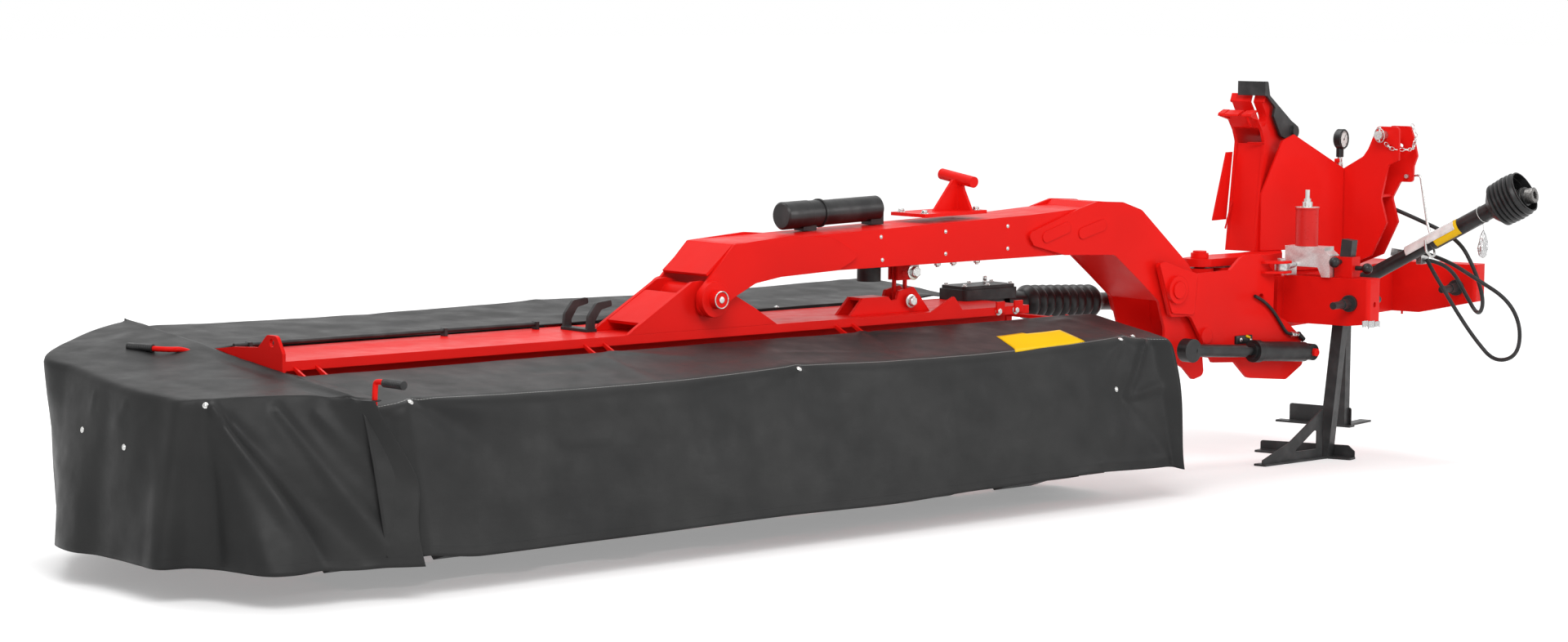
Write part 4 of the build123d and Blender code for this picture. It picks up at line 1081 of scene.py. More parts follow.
@dataclass
class Covers:
    """The three covers with their rivets, folds and welded edges."""

    paints: Paintbox
    made: dict[str, Piece] = field(default_factory=dict)

    def front(self) -> None:
        """Front cover, on the front guard."""
        ridges = (
            Ridge((-4.05, -0.505, 0.565), (-4.055, -0.56, 0.36), (0.02, 0.03), (0.004, 0.001)),
            Ridge((-3.995, -0.505, 0.57), (-3.79, -0.545, 0.42), (0.022, 0.07), (-0.01, -0.008)),
            Ridge((-3.93, -0.505, 0.575), (-3.55, -0.53, 0.5), (0.03, 0.05), (0.004, 0.003)),
            Ridge((-3.5, -0.548, 0.42), (-3.33, -0.548, 0.418), (0.03, 0.03), (0.005, 0.005)),
            Ridge((-3.5, -0.52, 0.5), (-2.95, -0.52, 0.51), (0.035, 0.035), (0.004, 0.003)),
            Ridge((-2.53, -0.505, 0.57), (-2.85, -0.53, 0.49), (0.018, 0.05), (-0.006, -0.005)),
            Ridge((-2.46, -0.505, 0.57), (-2.25, -0.53, 0.5), (0.018, 0.05), (-0.006, -0.003)),
            Ridge((-2.5, -0.51, 0.56), (-2.51, -0.55, 0.4), (0.02, 0.03), (0.003, 0.001)),
            Ridge((-0.987, -0.56, 0.375), (-0.986, -0.56, 0.374), (0.075, 0.075), (-0.022, -0.022)),
            Ridge((-0.845, -0.505, 0.575), (-0.978, -0.555, 0.385), (0.012, 0.016), (0.012, 0.016)),
            Ridge((-0.99, -0.56, 0.372), (-0.83, -0.552, 0.4), (0.013, 0.02), (0.012, 0.008)),
            Ridge((-0.995, -0.56, 0.36), (-1.2, -0.62, 0.15), (0.02, 0.05), (0.006, 0.008)),
            Ridge((-0.98, -0.565, 0.345), (-0.86, -0.62, 0.16), (0.016, 0.03), (0.004, 0.006)),
            Ridge((-0.972, -0.503, 0.57), (-1.14, -0.535, 0.46), (0.014, 0.04), (0.008, 0.004)),
            Ridge((-1.0, -0.53, 0.5), (-1.06, -0.55, 0.42), (0.03, 0.04), (-0.006, -0.003)),
            Ridge((-1.2, -0.62, 0.165), (-0.86, -0.626, 0.15), (0.012, 0.012), (0.004, 0.004)),
            # Roof
            Ridge((-3.0, -0.155, 0.62), (-3.2, -0.28, 0.6), (0.012, 0.03), (0.007, 0.002)),
            Ridge((-2.98, -0.16, 0.62), (-2.78, -0.26, 0.6), (0.012, 0.03), (0.006, 0.002)),
            Ridge((-3.06, -0.23, 0.6), (-3.09, -0.45, 0.585), (0.02, 0.035), (0.006, 0.003)),
            Ridge((-3.4, -0.3, 0.6), (-2.7, -0.31, 0.6), (0.03, 0.05), (-0.004, -0.003)),
            Ridge((-1.9, -0.155, 0.62), (-2.1, -0.35, 0.6), (0.012, 0.03), (0.008, 0.003)),
            Ridge((-1.86, -0.155, 0.62), (-1.98, -0.42, 0.59), (0.012, 0.03), (-0.006, -0.004)),
            Ridge((-1.88, -0.155, 0.62), (-1.65, -0.24, 0.61), (0.012, 0.03), (0.007, 0.002)),
            Ridge((-2.35, -0.34, 0.595), (-1.95, -0.42, 0.59), (0.02, 0.03), (0.004, 0.003)),
            Ridge((-0.93, -0.2, 0.61), (-1.3, -0.3, 0.6), (0.02, 0.05), (0.004, 0.001)),
        )
        cover = FrontCover(
            "front_canvas", "front_cover", (300, 84), ridges,
            rivets=(
                (-4.035, -0.506, 0.582), (-2.49, -0.507, 0.575), (-2.512, -0.551, 0.4),
                (-1.03, -0.55, 0.405), (-0.971, -0.504, 0.575), (-0.926, -0.47, 0.583),
                (-0.875, -0.475, 0.583),
                (-0.935, -0.305, 0.6), (-0.885, -0.315, 0.6), (-3.0, -0.17, 0.62), (-1.9, -0.17, 0.62),
                (-0.924, -0.17, 0.617),
            ),
        )
        finish = CoatedCanvas("canvas_front", seam=0.34, hem=0.03, length=cover.lengths()[1])
        piece = cover.build(finish, Body.FRONT_GUARD)
        rivets = cover.rivet_rows(piece, self.paints.bolt_zinc, Body.FRONT_GUARD)
        self.made["front"] = piece

    def rear(self) -> None:
        """Rear cover, on the deck."""
        ridges = (
            Ridge((-4.0, 0.8, 0.68), (-4.05, 0.86, 0.16), (0.03, 0.08), (0.006, 0.012)),
            Ridge((-3.3, 0.8, 0.66), (-3.2, 0.86, 0.16), (0.05, 0.1), (-0.006, -0.012)),
            Ridge((-2.6, 0.8, 0.69), (-2.5, 0.86, 0.2), (0.03, 0.08), (0.008, 0.01)),
            Ridge((-1.9, 0.8, 0.66), (-2.0, 0.86, 0.16), (0.05, 0.1), (-0.006, -0.01)),
            Ridge((-1.15, 0.8, 0.69), (-1.25, 0.86, 0.2), (0.03, 0.08), (0.006, 0.012)),
            Ridge((-4.12, 0.33, 0.67), (-3.6, 0.62, 0.69), (0.03, 0.06), (0.006, 0.002)),
            Ridge((-2.6, 0.33, 0.67), (-2.95, 0.66, 0.7), (0.03, 0.06), (0.007, 0.002)),
            Ridge((-2.6, 0.33, 0.67), (-2.2, 0.66, 0.7), (0.03, 0.06), (0.007, 0.002)),
            Ridge((-3.9, 0.52, 0.69), (-1.2, 0.54, 0.69), (0.05, 0.05), (-0.005, -0.005)),
            Ridge((-1.1, 0.33, 0.67), (-1.4, 0.6, 0.69), (0.03, 0.06), (0.006, 0.002)),
        )
        cover = RearCover(
            "rear_canvas", "rear_cover", (240, 84), ridges,
            rivets=tuple((x, 0.335, 0.675) for x in (-4.1, -3.35, -2.6, -1.85, -1.1))
            + tuple((x, 0.83, 0.45) for x in (-4.1, -2.6, -1.1)),
        )
        finish = CoatedCanvas("canvas_rear", seam=0.455, hem=0.03, length=cover.lengths()[1])
        piece = cover.build(finish, Body.DECK)
        rivets = cover.rivet_rows(piece, self.paints.bolt_zinc, Body.DECK)
        self.made["rear"] = piece

    def side(self) -> None:
        """Side cover, on the side guard, with its flap over the front cover."""
        ridges = (
            Ridge((-4.575, -0.262, 0.57), (-4.4, -0.57, 0.13), (0.014, 0.045), (0.02, 0.026)),
            Ridge((-4.54, -0.3, 0.52), (-4.27, -0.59, 0.14), (0.03, 0.05), (-0.018, -0.016)),
            Ridge((-4.4, -0.34, 0.56), (-4.19, -0.59, 0.16), (0.018, 0.035), (0.012, 0.016)),
            Ridge((-4.3, -0.4, 0.55), (-4.13, -0.57, 0.28), (0.02, 0.03), (0.008, 0.006)),
            Ridge((-4.61, -0.262, 0.54), (-4.6, -0.32, 0.14), (0.02, 0.035), (-0.006, -0.012)),
            Ridge((-4.7, -0.12, 0.54), (-4.745, -0.2, 0.13), (0.03, 0.04), (0.004, 0.008)),
            Ridge((-4.7, 0.1, 0.57), (-4.74, 0.12, 0.14), (0.04, 0.06), (-0.004, -0.008)),
            Ridge((-4.705, 0.0, 0.566), (-4.71, 0.06, 0.5), (0.012, 0.02), (0.004, 0.001)),
            Ridge((-4.705, 0.18, 0.575), (-4.715, 0.2, 0.5), (0.012, 0.02), (0.004, 0.001)),
            Ridge((-4.69, -0.12, 0.555), (-4.71, -0.06, 0.5), (0.012, 0.02), (0.004, 0.001)),
            Ridge((-4.6, 0.62, 0.6), (-4.6, 0.58, 0.16), (0.04, 0.07), (0.006, 0.014)),
            Ridge((-4.45, 0.76, 0.62), (-4.42, 0.8, 0.16), (0.03, 0.06), (-0.006, -0.012)),
            Ridge((-4.22, -0.46, 0.592), (-4.213, 0.8, 0.71), (0.011, 0.011), (0.009, 0.009)),
            Ridge((-4.26, -0.4, 0.59), (-4.25, 0.3, 0.66), (0.018, 0.018), (-0.004, -0.004)),
            Ridge((-4.3, 0.4, 0.66), (-4.6, 0.2, 0.63), (0.03, 0.05), (-0.006, -0.004)),
            Ridge((-4.35, -0.1, 0.62), (-4.62, 0.05, 0.61), (0.03, 0.05), (0.005, 0.003)),
            Ridge((-4.3, 0.62, 0.69), (-4.6, 0.42, 0.64), (0.03, 0.05), (0.005, 0.003)),
        )
        cover = SideCover(
            "side_canvas", "side_cover", (230, 84), ridges, edge=0.024,
            rivets=(
                (-4.235, 0.821, 0.711), (-4.594, -0.255, 0.58), (-4.72, 0.233, 0.47),
                (-4.72, -0.003, 0.441), (-4.56, 0.61, 0.6), (-4.4, 0.73, 0.63),
            ),
        )
        finish = CoatedCanvas("canvas_side", hem=0.03, length=cover.lengths()[1])
        piece = cover.build(finish, Body.SIDE_GUARD)
        rivets = cover.rivet_rows(piece, self.paints.bolt_zinc, Body.SIDE_GUARD)
        self.made["side"] = piece

    def build(self) -> None:
        """Makes the three covers."""
        self.front()
        self.rear()
        self.side()


@dataclass
class BlankPlate:
    """Blank yellow plate on the front cover's roof."""

    corners: Sequence[Pair] = ((-1.424, -0.338), (-1.102, -0.32), (-1.136, -0.497), (-1.496, -0.527))

    def build(self, paints: Paintbox, cover: Piece) -> None:
        """Lays the plate on the cover."""
        mesh = bmesh.new()
        bmesh.ops.create_grid(mesh, x_segments=24, y_segments=12, size=0.5)
        right_rear, left_rear, left_front, right_front = (Vector(corner) for corner in self.corners)
        for vert in mesh.verts:
            across, down = vert.co.x + 0.5, vert.co.y + 0.5
            rear = right_rear.lerp(left_rear, across)
            front = right_front.lerp(left_front, across)
            flat = rear.lerp(front, down)
            _, seat, normal, _ = cover.closest_point_on_mesh(Vector((*flat, 0.6)))
            vert.co = seat + normal * 0.0012
        if sum(face.normal.z for face in mesh.faces) < 0:
            bmesh.ops.reverse_faces(mesh, faces=mesh.faces[:])
        piece = finished(mesh, "blank_plate", paints.yellow, 60)
        solid = piece.modifiers.new("thickness", "SOLIDIFY")
        solid.thickness = 0.0012
        solid.offset = 1.0
        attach(piece, Body.FRONT_GUARD.value)


@dataclass
class GuardHandles:
    """Red bent rods with black grips that lift the guards."""

    rod: float = 0.0085
    grip: float = 0.0135
    ribs: int = 11

    def pair(
        self, name: str, paints: Paintbox, body: Body, bend: Sequence[Place], held: Sequence[Place],
    ) -> None:
        """Makes one handle.

        Args:
            name: the handle's name.
            paints: the finishes.
            body: the guard that it lifts.
            bend: control points of its rod.
            held: start and end of its ribbed grip.
        """
        wire(f"{name}_rod", [Vector(point) for point in bend], self.rod, paints.red, body)
        start, end = (Vector(point) for point in held)
        run = (end - start).length
        pitch = run / self.ribs
        profile: list[Pair] = [(0.0, 0.006)]
        for number in range(self.ribs):
            at = run * number / self.ribs
            profile += [
                (at + 0.001, self.grip), (at + pitch * 0.7, self.grip), (at + pitch * 0.85, self.grip * 0.88),
            ]
        profile += [(run - 0.001, self.grip * 0.9), (run, 0.0)]
        shape = Shape()
        shape.lathe(start, end - start, profile, 24)
        shape.piece(f"{name}_grip", paints.plastic, body, Slot.BLACK)

    def build(self, paints: Paintbox) -> None:
        """Makes both handles."""
        self.pair(
            "front_handle", paints, Body.FRONT_GUARD,
            ((-4.165, -0.497, 0.57), (-4.165, -0.5, 0.625), (-4.164, -0.505, 0.646), (-4.163, -0.55, 0.641)),
            ((-4.163, -0.545, 0.6415), (-4.162, -0.642, 0.642)),
        )
        height = roof_height(-4.3, 0.33)
        self.pair(
            "side_handle", paints, Body.SIDE_GUARD,
            ((-4.25, 0.335, height - 0.002), (-4.3, 0.325, height + 0.02), (-4.36, 0.318, height + 0.022),
             (-4.385, 0.37, height + 0.023)),
            ((-4.384, 0.366, height + 0.023), (-4.42, 0.455, height + 0.024)),
        )


# ---- Hoses, shaft and chain ----------------------------------------------------------------------------
@dataclass(frozen=True)
class HoseRoute:
    """One free hose: its route in the headstock's own frame, and its real length."""

    name: str
    node: str
    length: float
    points: Sequence[Place]


@dataclass
class Hoses:
    """The two free hydraulic hoses."""

    radius: float = 0.008
    routes: Sequence[HoseRoute] = (
        HoseRoute("coupler_line", "coupler_hose", 1.0, (
            (0.992, -0.3, 0.947), (1.002, -0.43, 0.9), (1.002, -0.598, 0.832), (1.002, -0.668, 0.722),
            (1.002, -0.715, 0.594), (1.092, -0.65, 0.52), (1.157, -0.56, 0.605), (1.132, -0.52, 0.69),
            (1.092, -0.477, 0.728), (1.062, -0.447, 0.736),
        )),
        HoseRoute("looped_line", "looped_hose", 1.29, (
            (1.014, -0.448, 0.768), (0.976, -0.556, 0.752), (0.952, -0.7, 0.684), (0.946, -0.838, 0.613),
            (0.966, -0.888, 0.508), (1.027, -0.849, 0.383), (1.081, -0.727, 0.348), (1.095, -0.636, 0.432),
            (1.08, -0.573, 0.522), (1.064, -0.508, 0.628), (1.044, -0.466, 0.704), (1.035, -0.448, 0.744),
        )),
    )

    def build(self, paints: Paintbox) -> None:
        for route in self.routes:
            points = [hitched(*point) for point in route.points]
            hose = wire(route.name, points, self.radius, paints.rubber, Body.HEADSTOCK)
            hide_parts(route.node)


@dataclass
class DriveShaft:
    """Guarded drive shaft towards the tractor: ribbed collar, sleeves, tube, ribbed bell and splined yoke."""

    rise: float = 29.0
    yoke_rise: float = 12.0
    joint: float = 0.8
    ribs: int = 6
    thread: float = 0.0011

    def at(self, distance: float) -> Vector:
        """Point on the shaft's axis at a distance from its foot."""
        slope = radians(self.rise)
        return hitched(0.92, -0.15 - cos(slope) * distance, 0.614 + sin(slope) * distance)

    def axis(self) -> Vector:
        """The shaft's direction."""
        return (self.at(1.0) - self.at(0.0)).normalized()

    def yoke_axis(self) -> Vector:
        """The yoke's direction, past the joint."""
        slope = radians(self.yoke_rise)
        return HITCH @ Vector((0, -cos(slope), sin(slope)))

    def outer(self, paints: Paintbox) -> None:
        """Guard: ribbed collar at the foot, stepped tube and ribbed bell."""
        shape = Shape()
        profile: list[Pair] = [(0.028, 0.018), (0.028, 0.046)]
        for number in range(3):
            at = 0.03 + 0.011 * number
            profile += [(at, 0.046), (at + 0.004, 0.0495), (at + 0.008, 0.046)]
        profile += [
            (0.064, 0.04), (0.07, 0.0305), (0.082, 0.0275), (0.425, 0.0275), (0.43, 0.032), (0.434, 0.0328),
            (0.7, 0.0328), (0.71, 0.036), (0.718, 0.049), (0.735, 0.068),
        ]
        pitch = 0.0188
        for number in range(self.ribs):
            at = 0.744 + pitch * number
            size = 0.0905 - 0.0012 * abs(number - 3)
            profile += [
                (at, size - 0.011), (at + pitch * 0.25, size - 0.001), (at + pitch * 0.55, size),
                (at + pitch * 0.8, size - 0.004),
            ]
        profile += [
            (0.86, 0.08), (0.867, 0.0835), (0.868, 0.078), (0.8, 0.08), (0.756, 0.074), (0.738, 0.05),
            (0.736, 0.015),
            (self.joint - 0.048, 0.015), (self.joint - 0.048, 0),
        ]
        shape.lathe(self.at(0), self.axis(), profile, 72)
        piece = shape.piece("shaft_guard", paints.plastic, Body.HEADSTOCK, Slot.BLACK, 32)
        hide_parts("pto_guard")

    def sheathed(
        self, name: str, material: Material, ends: Pair, sweep: Pair, radius: float, crumple: float,
    ) -> Piece:
        """Lays a thin skin round part of the tube.

        Args:
            name: the piece's name.
            material: its finish.
            ends: distances along the shaft where it starts and ends.
            sweep: angles in degrees where it starts and ends, from the top towards the left.
            radius: its radius.
            crumple: depth of its creases.

        Returns:
            The skin.
        """
        axis = self.axis()
        up = (UP - axis * UP.dot(axis)).normalized()
        left = up.cross(axis)
        if left.x > 0:
            left = -left
        mesh = bmesh.new()
        bmesh.ops.create_grid(mesh, x_segments=60, y_segments=28, size=0.5)
        for vert in mesh.verts:
            distance = between(*ends, vert.co.x + 0.5)
            angle = radians(between(*sweep, vert.co.y + 0.5))
            out = up * cos(angle) + left * sin(angle)
            coarse = noise.noise(Vector((distance * 40, angle * 2.2, 0.7)))
            fine = noise.noise(Vector((distance * 110, angle * 5, 4)))
            vert.co = self.at(distance) + out * (radius + crumple * (coarse + 0.5 * fine))
        mesh.normal_update()
        middle = self.at(sum(ends) / 2)
        if sum((face.calc_center_median() - middle).dot(face.normal) for face in mesh.faces) < 0:
            bmesh.ops.reverse_faces(mesh, faces=mesh.faces[:])
        piece = finished(mesh, name, material, 80)
        solid = piece.modifiers.new("thickness", "SOLIDIFY")
        solid.thickness = 0.0009
        solid.offset = -1.0
        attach(piece, Body.HEADSTOCK.value)
        return piece

    def yoke(self, paints: Paintbox) -> None:
        """Splines of the yoke's socket, its sliding collar, and the caps on either side of the joint."""
        joint, way = self.at(self.joint), self.yoke_axis()
        side = way.orthogonal().normalized()
        splines = Shape()
        for number in range(12):
            out = Matrix.Rotation(2 * pi * number / 12, 4, way) @ side
            turn = axes(out, way.cross(out), way)
            splines.block(joint + way * 0.082 + out * 0.0162, (0.005, 0.004, 0.043), turn, 0)
        splines.piece("socket_splines", paints.steel, Body.SHAFT, Slot.STEEL)
        collar = Shape()
        collar.lathe(joint, way, [
            (0.05, 0.03), (0.05, 0.0365), (0.054, 0.0378), (0.058, 0.0352), (0.062, 0.0352), (0.066, 0.0378),
            (0.07, 0.0365), (0.07, 0.03),
        ], 48)
        collar.piece("socket_collar", paints.plastic, Body.SHAFT, Slot.STEEL)
        fork = Shape()
        for sign in (-1, 1):
            fork.drum(joint + side * 0.024 * sign, joint + side * 0.044 * sign, 0.015, sides=28, bevel=0.002)
        fork.piece("joint_caps", paints.steel, Body.SHAFT, Slot.STEEL)

    def bundle(self, paints: Paintbox) -> None:
        """Small crumpled bag that hangs on a thread under the tube."""
        top = self.at(0.675) - UP * 0.05
        mesh = bmesh.new()
        bmesh.ops.create_icosphere(mesh, subdivisions=5, radius=1.0)
        for vert in mesh.verts:
            rough = 1 + 0.3 * noise.noise(vert.co * 2.2) + 0.16 * noise.noise(vert.co * 6)
            low = (1 - vert.co.z) / 2
            vert.co = top + Vector((
                vert.co.x * rough * (0.009 + 0.021 * low),
                vert.co.y * rough * (0.009 + 0.012 * low),
                (vert.co.z - 1) * 0.05 * (1 + 0.1 * rough) - 0.012,
            ))
        piece = finished(mesh, "film_bag", paints.foil, 180)
        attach(piece, Body.HEADSTOCK.value)
        axis = self.axis()
        up = (UP - axis * UP.dot(axis)).normalized()
        left = up.cross(axis)
        knot = self.at(0.672)
        around = []
        for number in range(12):
            angle = 2 * pi * number / 12
            out = up * cos(angle) + left * sin(angle)
            around.append(knot + out * 0.0355 + axis * 0.008 * sin(angle))
        hanging = [knot - UP * 0.036, top + UP * 0.002, top - UP * 0.02]
        wire("bag_thread", around, self.thread, paints.dial, Body.HEADSTOCK, closed=True)
        wire("bag_cord", hanging, self.thread, paints.dial, Body.HEADSTOCK)

    def build(self, paints: Paintbox) -> None:
        """Makes the whole shaft."""
        self.outer(paints)
        self.sheathed("shaft_band", paints.yellow, (0.448, 0.566), (-150, 150), 0.0338, 0.0)
        self.sheathed("shaft_sleeve", paints.film, (0.318, 0.552), (-75, 96), 0.0352, 0.0009)
        self.yoke(paints)
        self.bundle(paints)


@dataclass
class DriveBellows:
    """Ribbed rubber bellows over the deck's drive joint."""

    start: Place = (-0.805, 0.252, 0.641)
    neck: Place = (-0.306, 0.252, 0.6185)
    end: Place = (-0.15, 0.252, 0.612)
    tail: float = 0.1
    ribs: int = 9

    def build(self, paints: Paintbox) -> None:
        """Makes the bellows."""
        start, neck, end = Vector(self.start), Vector(self.neck), Vector(self.end)
        run, rest = (neck - start).length, (end - start).length
        profile: list[Pair] = [(0, 0.0), (0, 0.041), (self.tail, 0.041), (self.tail + 0.004, 0.05)]
        pitch = (run - self.tail - 0.03) / self.ribs
        for number in range(self.ribs):
            at = self.tail + 0.01 + pitch * number
            profile += [
                (at, 0.053), (at + pitch * 0.3, 0.0635), (at + pitch * 0.55, 0.0648),
                (at + pitch * 0.8, 0.0615),
            ]
        profile += [
            (run - 0.015, 0.053), (run, 0.036), (run + 0.02, 0.0335), (rest - 0.002, 0.0335), (rest, 0.032),
            (rest, 0),
        ]
        shape = Shape()
        shape.lathe(start, end - start, profile, 56)
        piece = shape.piece("drive_bellows", paints.plastic, Body.DECK, Slot.BLACK, 60)
        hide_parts("drive_guard")


@dataclass
class TopLinkChain:
    """Short chain with its linch pin on the top-link pin."""

    link: float = 0.0105
    wire_radius: float = 0.0019

    def chain(self, name: str, paints: Paintbox, body: Body, points: Sequence[Vector], count: int) -> None:
        """Hangs oval links one through the next along a curve.

        Args:
            name: the chain's name.
            paints: the finishes.
            body: the body that it hangs on.
            points: the points that the curve passes.
            count: how many links it has.
        """
        shape = Shape()
        for number in range(count):
            part = (number + 0.5) / count
            here = along_curve(points, part)
            ahead = along_curve(points, min(part + 0.02, 1.0)) - along_curve(points, max(part - 0.02, 0.0))
            way = ahead.normalized()
            across = way.cross(Vector((0.3, 0.9, 0.2))).normalized()
            normal = across if number % 2 else way.cross(across)
            fresh = Shape()
            fresh.ring(Vector(), UP, self.link, self.wire_radius, (1.0, 0.62))
            turn = axes(way, normal.cross(way), normal)
            shape.absorb(fresh.mesh, Matrix.Translation(here) @ turn)
        shape.piece(name, paints.bolt_zinc, body, Slot.ZINC, 60)

    def build(self, paints: Paintbox) -> None:
        """Makes the chain on the top-link pin and its linch pin."""
        self.chain("top_link_chain", paints, Body.HEADSTOCK, [
            hitched(0.846, -0.352, 1.203), hitched(0.858, -0.372, 1.185), hitched(0.89, -0.41, 1.181),
            hitched(0.93, -0.425, 1.184), hitched(0.955, -0.42, 1.2), hitched(0.962, -0.424, 1.235),
            hitched(0.966, -0.405, 1.277),
        ], 15)
        shape = Shape()
        pin = hitched(0.822, -0.335, 1.237)
        shape.drum(pin - UP * 0.026, pin + UP * 0.03, 0.004, sides=16, bevel=0.001)
        shape.drum(pin + UP * 0.024, pin + UP * 0.032, 0.0062, sides=20, bevel=0.001)
        shape.ring(pin, HITCH @ Vector((1, 0, 0.15)), 0.0245, 0.0021, (0.85, 1.15))
        shape.piece("top_link_linch_pin", paints.bolt_zinc, Body.HEADSTOCK, Slot.ZINC)


@dataclass
class Gauge:
    """Dial, glass rim, ticks, needle and stem of the spring's pressure gauge."""

    centre: Place = (0.886, -0.148, 1.214)

    def build(self, paints: Paintbox) -> None:
        """Makes the dial and the stem's bright fittings."""
        front = HITCH @ Vector((0, -1, 0))
        right = HITCH @ Vector((1, 0, 0))
        face = hitched(*self.centre)
        dial = Shape()
        dial.drum(face - front * 0.001, face + front * 0.0012, 0.0315, sides=56)
        dial.piece("gauge_dial", paints.dial, Body.HEADSTOCK, Slot.ZINC)
        rim = Shape()
        rim.lathe(face, front, [
            (-0.002, 0.0325), (0.0035, 0.0322), (0.0052, 0.034), (0.0045, 0.0372), (0.001, 0.0402),
            (-0.004, 0.0402),
        ], 64)
        rim.piece("gauge_rim", paints.plastic, Body.HEADSTOCK, Slot.BLACK)
        marks = Shape()
        for number in range(25):
            angle = radians(225 - 11.25 * number)
            out = right * cos(angle) + UP * sin(angle)
            turn = axes(out, front.cross(out), front)
            long = 0.0065 if number % 4 == 0 else 0.0038
            marks.block(face + front * 0.0014 + out * (0.0295 - long / 2), (long, 0.001, 0.0006), turn, 0)
        angle = radians(52)
        out = right * cos(angle) + UP * sin(angle)
        turn = axes(out, front.cross(out), front)
        marks.block(face + front * 0.0018 + out * 0.008, (0.031, 0.0016, 0.0006), turn, 0)
        marks.drum(face + front * 0.001, face + front * 0.003, 0.003, sides=20)
        marks.piece("gauge_marks", paints.plastic, Body.HEADSTOCK, Slot.BLACK)
        stem = Shape()
        foot = hitched(0.886, -0.132, 0)
        stem.drum(foot + UP * 1.1, foot + UP * 1.122, 0.0145, sides=6, bevel=0.001)
        stem.lathe(foot, UP, [
            (1.122, 0.0), (1.122, 0.0098), (1.126, 0.0104), (1.14, 0.0104), (1.144, 0.0092), (1.146, 0.0092),
            (1.146, 0),
        ], 32)
        stem.piece("gauge_stem", paints.bolt_zinc, Body.HEADSTOCK, Slot.ZINC)
        valve = Shape()
        valve.block(hitched(0.878, -0.128, 1.128), (0.03, 0.018, 0.018), HITCH, 0.003)
        valve.piece("gauge_valve", paints.red, Body.HEADSTOCK, Slot.RED)


# ---- Small fittings ------------------------------------------------------------------------------------
@dataclass(frozen=True)
class BoltSet:
    """Bolts of one size that face one way on one body."""

    name: str
    body: Body
    axis: Place
    size: float
    seats: Sequence[Place]
    stud: float = 0.0


@dataclass
class Fasteners:
    """Bolt heads, nuts and rivets that hold the frame together."""

    sets: Sequence[BoltSet] = (
        BoltSet("boom_nuts", Body.BOOM, (0, 0, -1), 0.013, (
            (-1.522, -0.03, 0.838), (-1.415, -0.03, 0.838), (-1.337, -0.03, 0.839), (-1.22, -0.03, 0.839),
        ), 0.006),
        BoltSet("bar_bolts", Body.BOOM, (0, 0, 1), 0.012, (
            (-1.485, -0.035, 1.011), (-1.485, 0.085, 1.011), (-1.232, -0.035, 1.0155),
            (-1.232, 0.085, 1.0155),
        )),
        BoltSet("deck_bolts", Body.DECK, (0, -1, 0), 0.011, (
            (-1.151, -0.073, 0.651), (-1.064, -0.073, 0.651),
        )),
        BoltSet("link_foot_bolt", Body.DECK, (0, -1, 0), 0.018, ((-1.545, -0.031, 0.706),)),
        BoltSet("gearbox_bolts", Body.DECK, (0, 0, 1), 0.008, (
            (-1.068, 0.184, 0.718), (-0.951, 0.184, 0.718), (-0.834, 0.184, 0.718),
            (-1.068, 0.282, 0.718), (-0.951, 0.282, 0.718), (-0.834, 0.282, 0.718),
        )),
        BoltSet("link_bolt_heads", Body.BOOM, (0, -1, 0), 0.021, ((-1.55, -0.0475, 0.81),)),
    )
    plate_rivets: Sequence[Pair] = (
        (-1.744, 0.943), (-1.737, 0.863), (-1.433, 0.949), (-1.432, 0.871), (-1.124, 0.956), (-1.123, 0.876),
    )
    rivet_skin: float = -0.088
    rivet_radius: float = 0.007

    def bolts(self, paints: Paintbox) -> None:
        """Sets every bolt."""
        for group in self.sets:
            shape = Shape()
            for seat in group.seats:
                shape.bolt(Vector(seat), Vector(group.axis), group.size, stud=group.stud)
            shape.piece(group.name, paints.bolt_zinc, group.body, Slot.ZINC)

    def rivets(self, paints: Paintbox) -> None:
        """Sets the rivets of the name plates on the boom's side."""
        shape = Shape()
        for x, z in self.plate_rivets:
            shape.rivet(Vector((x, self.rivet_skin, z)), Vector((0, -1, 0)), self.rivet_radius)
        shape.piece("boom_rivets", paints.bolt_zinc, Body.BOOM, Slot.ZINC)

    def breather(self, paints: Paintbox) -> None:
        """Sets the breather on the gearbox."""
        foot = Vector((-0.9, 0.25, 0.716))
        shape = Shape()
        shape.drum(foot, foot + UP * 0.012, 0.009, sides=6, bevel=0.0008)
        shape.drum(foot + UP * 0.011, foot + UP * 0.029, 0.0075, sides=24, bevel=0.002)
        shape.piece("gearbox_breather", paints.bolt_zinc, Body.DECK, Slot.ZINC)

    def pin_ring(self, paints: Paintbox) -> None:
        """Sets the retaining ring and the bright centre on the deck's pin."""
        end, back = Vector((-2.525, -0.152, 0.77)), Vector((0, 1, 0))
        shape = Shape()
        shape.ring(end - back * 0.001, back, 0.028, 0.0022)
        shape.drum(end - back * 0.003, end + back * 0.002, 0.011, sides=24, bevel=0.0008)
        shape.piece("deck_pin_ring", paints.bolt_zinc, Body.BOOM, Slot.ZINC)

    def build(self, paints: Paintbox) -> None:
        """Sets every bolt, rivet and ring."""
        self.bolts(paints)
        self.rivets(paints)
        self.breather(paints)
        self.pin_ring(paints)


